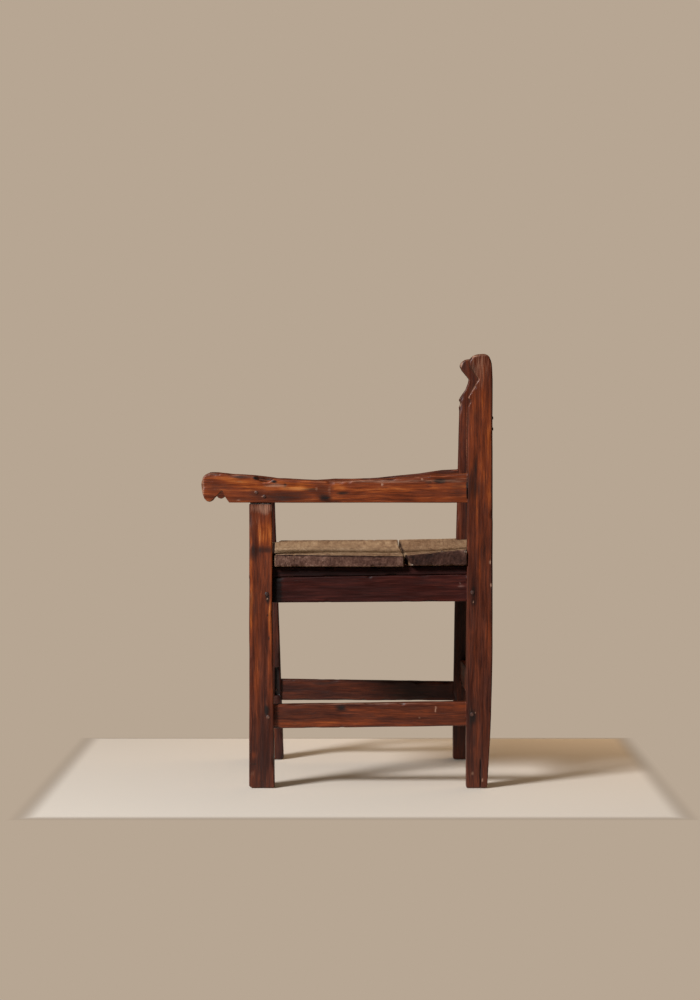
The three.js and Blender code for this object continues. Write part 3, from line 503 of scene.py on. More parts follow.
rearPost = {
    "depth": 50, "footDepth": 43, "spread": 350, "footCurve": 2.3, "lean": {"left": 3.8, "right": 15},
    "shoulderDrop": 88, "cap": 12, "endRound": 3.5, "topRound": 6,
    # over the shoulder the arrises get softer by this share, between these heights
    "softer": 0.9, "softFrom": 56, "softTo": 74,
    # housing for a corner of the seat in the left post: lowest and highest point, width, depth
    "housing": (445, 479), "housingWidth": 17, "housingDepth": 7,
    # split in the left foot
    "splitY": 266, "splitTop": 74, "splitDepth": 7, "splitWidth": 1.1,
    # carved top: share of the depth, share of the height over the shoulder
    "front": {
        "left": [[0, -0.3], [0.01, -0.22], [0.05, -0.146], [0.1, -0.1], [0.107, -0.06], [0.02, -0.03],
                 [0.01, 0.007], [0.43, 0.42], [0.3, 0.52], [0.2, 0.6], [0.1, 0.69], [0.055, 0.74],
                 [0.035, 0.79], [0.045, 0.85], [0.1, 0.895], [0.165, 0.93], [0.216, 0.955], [0.32, 0.98],
                 [0.42, 0.994], [0.52, 1]],
        "right": [[0, -0.3], [-0.02, -0.2], [0.03, -0.12], [0.03, -0.09], [-0.03, -0.03], [-0.02, 0],
                  [0.1, 0.117], [0.25, 0.235], [0.35, 0.39], [0.39, 0.483], [0.25, 0.59], [0.1, 0.695],
                  [0.01, 0.79], [0.015, 0.85], [0.06, 0.9], [0.14, 0.945], [0.23, 0.977], [0.36, 0.99],
                  [0.52, 1]],
    },
    "back": [[1, 0.4], [0.985, 0.66], [0.965, 0.78], [0.951, 0.818], [0.927, 0.864], [0.891, 0.909],
             [0.867, 0.932], [0.832, 0.955], [0.785, 0.977], [0.685, 0.998], [0.62, 1]],
    "left": {
        **frameWood, "seed": 11, "arris": [2.4, 3.0, 2.4, 2.4], "tone": -0.05, "wear": 0.3, "cell": 2,
        "warm": faceMarks(280, 30, [
            (260, 520, 2.2, 60, 0.18), (264.5, 430, 2.2, 70, 0.18), (258, 240, 5, 75, 0.12),
            (272, 780, 2.6, 60, 0.14), (266, 690, 34, 100, 0.1), (266, 800, 30, 60, 0.1),
            (281, 560, 7, 110, 0.07), (282, 330, 5, 120, 0.06), (269.6, 770, 1.6, 34, 0.2),
            (281.2, 680, 1.8, 60, 0.16), (283, 590, 4, 20, 0.12), (259, 555, 1.8, 36, 0.2),
            (284, 710, 4, 110, 0.1), (270, 843, 9, 18, 0.08), (262, 120, 40, 150, -0.06),
            (264, 400, 40, 70, -0.06),
        ]),
        # the long marks at y 289 and 290 are painted shade along the back arris, which is turned away from
        # the light
        "dark": faceMarks(280, 30, [
            (252, 394, 4, 15, 0.85), (252, 374, 5, 9, 0.6), (251, 144, 8, 23, 0.75),
            (256.5, 635, 4.5, 34, 0.6), (254.5, 601, 7, 24, 0.6), (246, 460, 5, 80, 0.3),
            (259.7, 741, 7, 16, 0.35), (290, 640, 2.6, 260, 0.9), (262, 600, 24, 20, 0.35),
            (250, 838, 9, 24, 0.5, 0.4), (251, 608, 9, 42, 0.6), ((264, 245, 462), (14, 7, 17), 1.0, 0.2),
            (286, 820, 2, 40, 0.3), (289, 400, 2.4, 170, 0.6), (266, 30, 1.6, 34, 0.9),
            (283, 150, 6, 90, 0.2), ((280, 248, 848), (12, 7, 28), 0.4), (244, 590, 4, 22, 0.45),
            (263, 560, 30, 60, 0.15),
        ]),
        "chips": faceMarks(280, 8, [
            (285, 452, 1.6, 5, 0.9), (287, 407, 1.4, 3, 0.7), ((280, 251, 373), (6, 1.4, 1.6), 0.8),
            ((280, 256, 152), (6, 1.3, 1.5), 0.7), ((280, 269.5, 17), (6, 1.6, 4), 0.8),
            ((280, 250, 30), (6, 3, 5), 0.45), ((280, 267, 838), (20, 20, 40), 0.28, 0.3),
            ((279, 250, 865), (9, 12, 3), 0.7, 0.3), ((280, 241, 783), (9, 3, 5), 0.5),
            ((280, 253, 803), (6, 4, 9), 0.35),
        ]),
    },
    "right": {
        **frameWood, "seed": 23, "arris": [2.8] * 4, "tone": -0.1, "wear": 0.3,
        "warm": [((-234, 240, 850), (30, 16, 20), -0.04)],
        # the second dark mark is painted shade: the seat's shadow on the inner side of the right post
        "dark": [((-234, 262, 800), (30, 26, 40), 0.25), ((-234, 250, 300), (40, 60, 120), 0.5)],
        # painted highlight: the first pale mark lights the ledge of the groove under the carved top, and is
        # partly a pale chip
        "chips": [((-236, 239, 771), (12, 4, 5), 1.0, 0.2), ((-236, 243, 858), (12, 5, 8), 0.7, 0.3)],
    },
}


def postFrontAt(side, z, backY, shoulder):
    # the front leans out towards the foot by lean * (1 - share of the height to the power 1.4)
    share = np.clip(z / shoulder, 0, 1)
    return backY - rearPost["depth"] - rearPost["lean"][side] * (1 - share ** 1.4)


def makePost(side):
    # An upright between four edges. The back draws in towards the foot by (1 - height / spread) to
    # the power footCurve, and the carved top follows the rows of front and back.
    (x0, x1), (_, backY), (_, top) = spanOf(f"{side}_rear_post")
    shoulder = top - rearPost["shoulderDrop"]
    frontShares, backShares = np.array(rearPost["front"][side]), np.array(rearPost["back"])
    softFrom, softTo = shoulder + rearPost["softFrom"], shoulder + rearPost["softTo"]
    look = {**rearPost[side],
            "rounder": lambda z: 1 + rearPost["softer"] * smoothStep(z, softFrom, softTo)}

    def heightOf(up):
        # height of a share of the carved top
        return shoulder + up * rearPost["shoulderDrop"]

    def edges(z):
        front = postFrontAt(side, z, backY, shoulder)
        depth = backY - postFrontAt(side, shoulder, backY, shoulder)
        front = front + depth * np.interp(z, heightOf(frontShares[:, 1]), frontShares[:, 0])
        foot = postFrontAt(side, 0, backY, shoulder) + rearPost["footDepth"]
        taper = np.clip(1 - z / rearPost["spread"], 0, 1) ** rearPost["footCurve"]
        back = backY - (backY - foot) * taper
        back = back - depth * (1 - np.interp(z, heightOf(backShares[:, 1]), backShares[:, 0]))
        low = roundedEnds(z, 0, top, rearPost["endRound"], sharp)
        sideways = low + roundedEnds(z, 0, top, sharp, rearPost["topRound"])
        return x0 + sideways, x1 - sideways, front + low, back - low

    fineFrom, cap = shoulder - 24, rearPost["cap"]  # closer rows where the top is carved
    stations = np.concatenate([
        endSteps, evenStations(5, fineFrom, 2.4), evenStations(fineFrom, top - cap, 1.1),
        top - cap * (1 - np.sin(np.linspace(0, math.pi / 2, 22)))])

    def carve(points, normals):
        # the housing for the seat's corner, and the split, a V about a line that wanders with height
        x, y, z = points.T
        low, high = rearPost["housing"]
        inHousing = smoothStep(z, low - 1, low + 1.5) * (1 - smoothStep(z, low + 4, high))
        facing = smoothStep(-normals[:, 1], 0.25, 0.7)
        inner = x1 - rearPost["housingWidth"]
        housing = rearPost["housingDepth"] * inHousing * facing * smoothStep(x, inner, inner + 3)
        line = rearPost["splitY"] + 1.2 * noise(points * [0, 0, 1], [1, 1, 22], 5)
        width = rearPost["splitWidth"] * (1 - smoothStep(z, 30, rearPost["splitTop"])) + 0.15
        split = np.clip(1 - np.abs(y - line) / width, 0, 1) * (z < rearPost["splitTop"])
        return housing + rearPost["splitDepth"] * split * smoothStep(normals[:, 0], 0.6, 0.9)

    close = ((), ())
    if side == "left":
        close = ((), (rearPost["splitY"] - (backY - rearPost["depth"]),))
    timber(f"{side}Post", f"{side}_rear_post", 2, stations, edges, look,
           carve=carve if side == "left" else None, close=close)


for side in sides:
    makePost(side)
print("posts made")


# front legs

frontLeg = {
    "setback": 96, "depth": 47, "flare": {"left": 4.6, "right": 0}, "flareHeight": 340, "armHeight": 571,
    "leanFoot": {"left": 0, "right": 9}, "leanTop": {"left": 0, "right": 11},
    "drop": {"left": 0, "right": 5.9}, "toeWear": 5, "toeRound": 3,
    # slot left by a lost stretcher: lowest and highest point
    "mortise": (139, 200), "mortiseWidth": 10.5, "mortiseDepth": 8, "mortiseInset": 1.5,
    # the tenon shows as a dark slit under the arm: the neck is drawn in, and on the left leg a black mark
    # paints the shade in it
    "neckHeight": 3.2, "neckInset": 1.8,
    "left": {
        **frameWood, "seed": 31, "arris": [2.2, 3.0, 2.6, 2.4], "tone": 0.01, "wear": 0.3, "cell": 2,
        "warm": faceMarks(278, 30, [
            (-165, 511, 15, 26, 0.27, 0.6), (-172, 507, 9, 19, 0.14, 0.6), (-192, 400, 3.5, 90, 0.16),
            (-155, 330, 4, 30, 0.18), (-193, 380, 2.6, 110, 0.16), (-157, 275, 5, 75, 0.2),
            (-156, 352, 4, 20, 0.12), (-183, 230, 4.5, 110, 0.16), (-188, 66, 4.5, 8, 0.3),
            (-190, 26, 5, 10, 0.12), (-182, 534, 13, 24, 0.1, 0.6), (-172, 425, 26, 50, -0.05),
            ((278, -172, 60), (40, 40, 85), -0.23), ((278, -172, 230), (40, 40, 110), -0.1),
        ]),
        "dark": faceMarks(278, 30, [
            (-168, 477, 24, 8, 0.52), (-186, 475, 12, 16, 0.58, 1.6),
            # painted shade: the first mark on the next line paints the slit under the arm black
            ((278, -172, 570), (60, 60, 2.4), 1.0, 0), (-193, 532, 5, 38, 0.36), (-160, 380, 5, 14, 0.7),
            (-161, 155, 6, 12, 0.75), (-156, 140, 5, 24, 0.4), (-188, 49, 6, 1.8, 0.7),
            (-160, 346, 2.4, 3, 0.7), (-157, 300, 2.4, 4, 0.5), (-168, 90, 14, 50, 0.2),
        ]),
        "chips": faceMarks(278, 6, [
            (-160, 379, 1.6, 2, 0.8), ((278, -190, 474), (5, 2, 3), 0.3), (-190, 30, 4, 7, 0.25),
            ((278, -172, 560), (8, 30, 11), 0.42, 0.8), ((278, -180, 535), (30, 14, 26), 0.17, 0.4),
        ]),
    },
    "right": {
        **frameWood, "seed": 43, "arris": [2.8] * 4, "tone": -0.17, "wear": 0.2,
        "dark": [((-232, -165, 250), (30, 60, 200), 0.3)],
        "chips": [((-232, -150, 520), (20, 14, 50), 0.2)],
    },
}
noseY = spanOf("left_arm")[1][0]


def legFrontAt(side, z):
    # a straight line from the foot to the arm
    foot, top = frontLeg["leanFoot"][side], frontLeg["leanTop"][side]
    return noseY + frontLeg["setback"] + foot - (foot + top) * z / frontLeg["armHeight"]


def makeLeg(side):
    # An upright between four edges. The back flares towards the foot by flare * (1 - height /
    # flareHeight), the toe is worn off by toeWear * (1 - height / toeWear) to the power 1.5, and the
    # neck under the arm is thinner by neckInset.
    (x0, x1), _, _ = spanOf(f"{side}_front_leg")
    top = frontLeg["armHeight"] - frontLeg["drop"][side] + 1
    neck = top - frontLeg["neckHeight"]

    def edges(z):
        front = legFrontAt(side, z)
        front = front + frontLeg["toeWear"] * np.clip(1 - z / frontLeg["toeWear"], 0, 1) ** 1.5
        flare = frontLeg["flare"][side] * np.clip(1 - z / frontLeg["flareHeight"], 0, 1)
        back = legFrontAt(side, z) + frontLeg["depth"] + flare
        rounded = roundedEnds(z, 0, neck, frontLeg["toeRound"], 0.6)
        draw = np.where(z > neck, frontLeg["neckInset"], rounded)
        return x0 + draw, x1 - draw, front + draw, back - draw

    low, high = frontLeg["mortise"]
    stations = np.concatenate([
        endSteps, evenStations(5, neck - 5, 2.4), neck - endSteps, [neck + 0.05, top],
        [low - 0.3, low + 0.3, high - 0.3, high + 0.3]])
    inner = 1 if side == "right" else -1

    def carve(points, normals):
        # the mortise: a box with slightly soft edges, sunk into the inner side
        x, y, z = points.T
        rear = legFrontAt(side, high) + frontLeg["depth"] - frontLeg["mortiseInset"]
        front = rear - frontLeg["mortiseWidth"]
        across = smoothStep(y, front - 0.5, front + 0.5) * (1 - smoothStep(y, rear - 0.5, rear + 0.5))
        up = smoothStep(z, low - 0.4, low + 0.4) * (1 - smoothStep(z, high - 0.4, high + 0.4))
        return frontLeg["mortiseDepth"] * across * up * smoothStep(normals[:, 0] * inner, 0.7, 0.9)

    close = ((), (frontLeg["depth"] - 2, frontLeg["depth"] - 12))
    timber(f"{side}Leg", f"{side}_front_leg", 2, stations, edges, frontLeg[side], carve=carve, close=close)


for side in sides:
    makeLeg(side)
print("legs made")


# arms

arm = {
    "width": 58, "rearWidth": 46, "dropFront": {"left": 0, "right": 7}, "dropRear": {"left": 0, "right": 1.5},
    # height over the underside, against the distance behind the tip of the nose
    "top": [[0, 37], [0.7, 42.5], [3.7, 52.4], [6.5, 56], [9.6, 58.6], [15.5, 61.2], [22, 61.5], [30, 61.2],
            [38, 60.8], [50, 59.4], [62, 57.8], [86, 56.8], [108, 55.3], [118, 54], [130, 52.8], [151, 50],
            [178, 48.5], [210, 46.6], [248, 45.4], [298, 45.6], [360, 48.6], [421, 53.2], [482, 57.2],
            [518, 59.2], [534, 60]],
    "under": [[0, 34.5], [0.5, 30], [2.3, 19], [6, 8.5], [11, 3], [17, 1.4], [20.5, 2.2], [23.5, 4.6],
              [27.3, 9.2], [31, 12.4], [34, 15], [38, 19.8], [41, 22.8], [43, 23.4], [44.4, 20], [46, 15],
              [49.4, 9], [52.5, 4.4], [55.3, 0.8], [56.5, 0.1], [534, 0]],
    # how far the far arm's top lies lower than the near one's, against the same distance
    "sag": {"left": [[0, 0], [534, 0]],
            "right": [[0, 1.2], [1.5, 2], [4, 4], [33, 5.6], [84, 7.5], [140, 10], [170, 9], [200, 7],
                      [263, 2.4], [353, 4.2], [445, 2.4], [495, -1.6], [534, -1]]},
    # broken pocket in the left arm's outer edge: its middle and half length along y, its lowest point,
    # its reach inwards
    "pocket": (-164, 24, 613, 13), "pocketDepth": 8,
    # dish along the top: its depth, distance from the middle of the chair, more of that at the rear,
    # half width
    "dish": 1.6, "dishAt": 254, "dishOut": 4, "dishHalf": 24,
    "left": {
        **frameWood, "seed": 53, "arris": [2.4, 5.0, 5.5, 2.4], "tone": 0.13, "wear": 0.4, "hewn": 0.6,
        "cutStain": 0.4, "knocks": 40, "cell": 2,
        "warm": faceMarks(280, 30, [
            (-242, 618, 18, 5, 0.24), (-216, 612.5, 24, 5, 0.32), (-190, 606.5, 20, 4, 0.28),
            (-170, 602, 15, 3, 0.15), (-95, 604, 26, 8, 0.32), (-15, 603, 14, 12, 0.22),
            (85, 598, 70, 12, 0.08), (60, 580, 90, 5, 0.1), (-262, 588, 14, 10, -0.05),
            (170, 592, 60, 20, -0.03),
        ]),
        "dark": faceMarks(280, 30, [
            (-128, 583, 62, 15, 0.5), (-54, 594, 16, 24, 0.38), (-268, 600, 16, 14, 0.3),
            (163, 612, 10, 3.5, 0.5), (239.5, 600, 3, 28, 0.7, 0.4), (-46, 580, 12, 9, 0.68),
            ((276, -183, 621), (30, 7, 5), 0.9), ((276, -147, 614), (30, 5, 3), 0.9),
            ((272, -165, 618), (13, 20, 5), 0.7, 0.3), (-125, 607, 4, 4, 0.8, 0.3),
            (-143, 608, 3, 3, 0.6, 0.3), (-262, 606, 17, 4, 0.35), (205, 617, 22, 5, 0.4),
            (120, 621, 22, 3, 0.3), (-178, 588, 18, 8, 0.45), (-10, 591.5, 15, 5, 0.65),
            (184, 615, 15, 6, 0.85), (222, 595, 14, 24, 0.3), (110, 590, 14, 2.5, 0.3),
            (-272, 580, 8, 7, 0.3), (-246, 603, 9, 3, 0.3), (-210, 577, 12, 3, 0.3), (-214, 623, 24, 5, 0.5),
        ]),
        "chips": faceMarks(280, 8, [
            ((280, -184, 593), (6, 2, 2), 0.9), ((280, -168, 584), (6, 3.5, 1.3), 0.8),
            (69.5, 608, 1.4, 3.5, 1.0), (149, 618.5, 1.8, 2.5, 0.9), (-143, 607, 22, 4, 0.4),
            (-36, 596, 4, 12, 0.3), (-62, 600, 3, 7, 0.3), ((280, 70, 615), (10, 150, 3.5), 0.4),
            ((280, -289, 605), (12, 3, 20), 0.3), (226, 620, 14, 1.6, 0.3),
            ((280, -222, 627), (10, 20, 1.6), 0.4), (-218, 577, 5, 2, 0.45),
            ((280, -272, 630), (10, 14, 3), 0.4),
        ]),
    },
    # darker than the left arm: painted shade on its top and inner side, which lie in shadow
    "right": {**frameWood, "seed": 67, "arris": [2.4, 4.0, 4.0, 2.4], "tone": -0.06, "wear": 0.25,
              "hewn": 0.6, "knocks": 30},
}
armBase = spanOf("left_arm")[2][0]
postBackY = spanOf("left_rear_post")[1][1]
postFaceY = postBackY - rearPost["depth"]
postShoulder = spanOf("left_rear_post")[2][1] - rearPost["shoulderDrop"]


def makeArm(side):
    # A bar from the nose into the post. Its heights are read between the rows of top, under and sag,
    # and its width and drop run in straight lines from the nose to the post.
    (x0, x1), (tip, _), _ = spanOf(f"{side}_arm")
    rear = postFrontAt(side, armBase, postBackY, postShoulder) + 1.2
    tops, unders, sags = np.array(arm["top"]), np.array(arm["under"]), np.array(arm["sag"][side])
    outer, inwards = (x1, -1) if side == "left" else (x0, 1)
    dropFront, dropRear = arm["dropFront"][side], arm["dropRear"][side]

    def edges(y):
        behind = y - tip
        share = behind / (postFaceY - tip)
        base = armBase - (dropFront + (dropRear - dropFront) * share)
        low = base + np.interp(behind, unders[:, 0], unders[:, 1])
        high = base + np.interp(behind, tops[:, 0], tops[:, 1]) - np.interp(behind, sags[:, 0], sags[:, 1])
        width = arm["width"] + (arm["rearWidth"] - arm["width"]) * share
        draw = roundedEnds(y, tip, rear + 50, 7, sharp)
        a, b = outer + draw * inwards, outer + inwards * (width - draw)
        return low, high, np.minimum(a, b), np.maximum(a, b)

    stations = tip + np.concatenate([
        [0, 0.08, 0.25, 0.5, 0.9, 1.4, 2, 2.8, 3.7, 4.8], evenStations(6, 62, 1.1),
        evenStations(62, rear - tip, 2.2)])

    def carve(points, normals):
        # a shallow dish along the top, dish * (1 - distance from its middle squared), and the pocket,
        # an ellipsoid whose edge is broken by noise
        x, y, z = points.T
        share = np.clip((y - tip) / (postFaceY - tip), 0, 1)
        offset = np.abs(x) - arm["dishAt"] - arm["dishOut"] * share
        across = np.clip(1 - (offset / arm["dishHalf"]) ** 2, 0, 1)
        dish = arm["dish"] * smoothStep(normals[:, 2], 0.4, 0.95) * across
        if side == "right":
            return dish
        middle, reach, low, deep = arm["pocket"]
        far = ((y - middle) / reach) ** 2 + ((x1 - x) / deep) ** 2 * 0.6
        far = far + np.clip((low + 12 - z) / 13, 0, 3) ** 2
        far = far + 0.5 * layered(points, [9, 14, 7], 71, 3)
        return dish + arm["pocketDepth"] * (1 - smoothStep(far, 0.45, 0.85))

    timber(f"{side}Arm", f"{side}_arm", 1, stations, edges, arm[side], carve=carve)


for side in sides:
    makeArm(side)
print("arms made")


# bars from leg to post, and bars across the chair

def lineAt(place, ends, values):
    # straight line between two values
    return values[0] + (values[1] - values[0]) * (place - ends[0]) / (ends[1] - ends[0])


def makeSideBar(name, bar):
    # low and high give the heights of its lower and upper edge at the leg and at the post, which it
    # runs into by 2.5 and 1.5 mm
    side = bar["side"]
    (x0, x1), _, _ = spanOf(bar["node"])
    y0 = legFrontAt(side, bar["low"][0]) + frontLeg["depth"] - 2.5
    y1 = postFrontAt(side, bar["low"][0], postBackY, postShoulder) + 1.5
    innerX = x0 if side == "left" else x1 - bar["thickness"]
    ends = (noseY + frontLeg["setback"] + frontLeg["depth"], postFaceY)

    def edges(y):
        return lineAt(y, ends, bar["low"]), lineAt(y, ends, bar["high"]), innerX, innerX + bar["thickness"]

    timber(name, bar["node"], 1, evenStations(y0, y1, 2.4), edges, bar)


rail = {**railWood, "thickness": 28, "low": (370.4, 373), "high": (421.4, 427.4), "arris": [2.2] * 4,
        "tone": -0.05, "wear": 0.15, "stain": 0.5, "hewn": 0.5, "knocks": 12}
# the bearers' low tone is painted shade: they sit in the shadow of the seat boards' overhang
bearer = {**railWood, "thickness": 26, "low": (421.7, 427.7), "high": (441.7, 444.7), "arris": [1.5] * 4,
          "tone": -0.2, "wear": 0.0, "hewn": 0.5, "knocks": 6}
stretcher = {**frameWood, "thickness": 26}
sideBars = {
    "leftRail": {
        **rail, "side": "left", "node": "left_side_seat_rail", "seed": 73,
        # painted shadow: this dark mark darkens the rail's front end where the left leg's shadow falls
        "dark": [((265, -143, 398), (30, 13, 50), 1.0, 0.4)],
        "chips": [((265, 228, 404), (8, 9, 14), 0.2), ((265, 226, 410), (6, 2, 2), 0.6)],
    },
    "leftBearer": {**bearer, "side": "left", "node": "left_seat_bearer", "seed": 83},
    "rightRail": {**rail, "side": "right", "node": "right_side_seat_rail", "seed": 79},
    "rightBearer": {**bearer, "side": "right", "node": "right_seat_bearer", "seed": 89},
    "leftStretcher": {
        **stretcher, "side": "left", "node": "left_side_stretcher", "seed": 97,
        "low": (118, 123.5), "high": (167, 172.5), "arris": [2.6, 4.0, 3.0, 2.4], "tone": -0.04,
        "wear": 0.3, "hewn": 0.8, "cell": 2,
        "warm": faceMarks(266, 30, [
            (-100, 127, 60, 6, 0.16), (40, 132, 60, 7, 0.12), (70, 146, 40, 5, 0.08), (-95, 142, 30, 4, 0.1),
        ]),
        "dark": faceMarks(266, 30, [
            (-13, 160, 13, 7, 0.7), (-45, 150, 10, 7, 0.25), (120, 158, 70, 5, 0.3), (-60, 165, 70, 3, 0.3),
        ]),
        "chips": faceMarks(266, 8, [
            (176, 157, 1.6, 6, 0.7), (178, 160, 1.2, 3, 0.6), (144, 140, 2, 2, 0.5),
            ((266, 20, 169), (10, 160, 2), 0.35),
        ]),
    },
    "rightStretcher": {
        **stretcher, "side": "right", "node": "right_side_stretcher", "seed": 101,
        "low": (128, 127), "high": (174, 168.5), "arris": [3] * 4, "tone": -0.16, "wear": 0.2,
        # painted shade on the inner side of the stretcher's rear part, under the seat
        "dark": [((-250, 130, 150), (40, 75, 40), 0.5)],
    },
}
for name, bar in sideBars.items():
    makeSideBar(name, bar)
print("side bars made")


def makeCrossBar(name, bar):
    # low and high give the heights of its lower and upper edge at the right and at the left
    low, high = spanOf(bar["node"])[1]
    ends = (-bar["reach"], bar["reach"])

    def edges(x):
        return low, high, lineAt(x, ends, bar["low"]), lineAt(x, ends, bar["high"])

    timber(name, bar["node"], 0, evenStations(ends[0] - 1.2, ends[1] + 1.2, 2.6), edges, bar)


crossBars = {
    "frontRail": {
        **railWood, "node": "front_seat_rail", "seed": 107, "reach": 232,
        "low": (381.5, 381.5), "high": (441.4, 441.4), "arris": [2] * 4, "wear": 0.2,
    },
    "rearRail": {
        **railWood, "node": "rear_seat_rail", "seed": 109, "reach": 234,
        "low": (384.8, 384.8), "high": (444.7, 444.7), "arris": [2] * 4, "wear": 0.1,
    },
    "rearStretcher": {
        **frameWood, "node": "rear_stretcher", "seed": 113, "reach": 234,
        "low": (168, 182), "high": (216, 232), "arris": [2.6] * 4, "tone": -0.05, "wear": 0.2,
    },
    "backBoard": {
        **frameWood, "node": "back_board", "seed": 127, "reach": 234,
        "low": (583, 583), "high": (754, 754), "arris": [2.8] * 4, "tone": 0.12, "wear": 0.4,
        "chips": [((0, 262, 690), (300, 30, 110), 0.36), ((0, 262, 744), (300, 30, 14), 0.4)],
    },
}
for name, bar in crossBars.items():
    makeCrossBar(name, bar)
print("cross bars made")


# seat boards

plank = {"wood": "wornPlank", "slot": "seat_wood", "arris": [2.5, 2, 2.6, 4], "wear": 0.1, "stain": 0.4,
         "cloud": 0.14, "cell": 3, "hewn": 0.5, "ridge": 0.4, "knocks": 60, "endRelief": 1.1}
seat = {
    "height": 466, "thickness": 24, "reach": 280, "legInner": 232, "postInner": 234, "sunk": 0.56,
    "joint": 113, "jointGap": 1.2, "skew": 6, "splayLength": 46, "splayTop": 4, "splayUnder": 13,
    # the underside rises by this much, from this place on, over this length
    "rise": 3, "riseFrom": -150, "riseOver": 391,
    # how far the top rises to the ends: place as a share of the reach, share of the end's height
    "ends": [[-1, 1], [-0.9, 0.85], [-0.76, 0.6], [-0.5, 0], [0.25, 0], [1, 1]],
    # a groove from the right leg to the left one, just behind them, with rows close together, stained dark by
    # the cut stain as painted shade standing in for a shaded gap
    "lineAt": -157, "lineSkew": 6.4, "lineWidth": 7, "lineDepth": 4, "lineRows": (24, 28, 32, 36, 40, 44),
    # crown: heights of the top over the flat, in parts of the thickness: share of the depth, left end,
    # middle, right end
    "front": {
        **plank, "seed": 131, "tone": 0.11,
        "crown": [[0, 0.12, 0.04, 0.33], [0.12, 0.14, 0.04, 0.37], [0.5, 0.07, 0.03, 0.4],
                  [0.9, 0.0, 0, 0.43], [1, -0.02, 0, 0.43]],
        "warm": [
            ((40, -20, 466), (90, 120, 30), 0.08), ((-250, -20, 466), (25, 200, 30), -0.15),
            # painted light and shade: the second mark lightens the top where the left arm's shadow falls, the
            # first darkens the lit strip in front of it
            ((232, -20, 468), (46, 190, 14), -0.16, 0.3), ((116, -10, 466), (46, 160, 14), 0.22, 0.3),
            ((282, -20, 453), (4, 200, 12), -0.15, 0.3),
        ],
        "dark": [
            ((279, -105, 466.8), (4, 60, 2.4), 0.75, 0.4), ((279, -15, 465.6), (4, 60, 2.6), 0.85, 0.4),
            ((279, 70, 464.4), (4, 50, 2.6), 0.9, 0.4), ((-277, -20, 473), (5, 160, 3), 0.6),
            ((-262, -20, 472), (16, 170, 6), 0.4, 0.6), ((280, -60, 452), (6, 1.2, 9), 0.8),
            ((280, -35, 455), (6, 1, 7), 0.7), ((280, -28, 450), (6, 1, 9), 0.7),
            ((280, 60, 448), (6, 30, 4), 0.4),
        ],
        "chips": [((279, -143, 459), (4, 6, 5), 0.2), ((0, -20, 467), (120, 60, 9), 0.2)],
    },
    "rear": {
        **plank, "seed": 137, "tone": -0.03,
        "crown": [[0, 0.02, 0, 0.43], [0.1, 0.1, 0.03, 0.46], [0.45, 0.34, 0.12, 0.5],
                  [0.82, 0.62, 0.34, 0.57], [1, 0.66, 0.38, 0.57]],
        "warm": [
            ((40, 190, 470), (90, 60, 30), 0.05), ((280, 190, 462), (12, 90, 16), -0.3),
            # painted light: the second mark lightens the top where the left arm's shadow falls
            ((225, 225, 482), (70, 26, 8), 0.1, 1.4), ((116, 180, 468), (46, 90, 14), 0.2, 0.3),
        ],
        "dark": [
            ((276, 190, 474), (4, 80, 5), 0.5), ((0, 280, 474), (300, 8, 12), 0.5),
            # painted shade: the first mark paints the inside of the opened joint at the left end black
            ((262, 117, 455), (34, 5, 16), 1.0, 0.2), ((0, 110.5, 470), (300, 6, 9), 0.9, 0.2),
            ((225, 215, 482), (60, 14, 9), 0.5), ((236, 180, 478), (46, 70, 9), 0.42, 2),
            ((200, 180, 476), (70, 10, 9), 0.4),
        ],
        "chips": [((279, 238, 474), (5, 4, 3), 0.7), ((279, 129, 447), (5, 4, 3), 0.5)],
    },
}


def crownAt(x, y, table, y0, y1):
    # height over the flat: read between the rows of the table along y, then blended from the middle
    # towards the end's own height by how far out x is
    rows, ends = np.array(table), np.array(seat["ends"])
    share = np.clip((y - y0) / (y1 - y0), 0, 1)
    left, middle, right = (np.interp(share, rows[:, 0], rows[:, i]) for i in (1, 2, 3))
    out = np.interp(x / seat["reach"], ends[:, 0], ends[:, 1])
    return (middle + (np.where(x > 0, left, right) - middle) * out) * seat["thickness"]


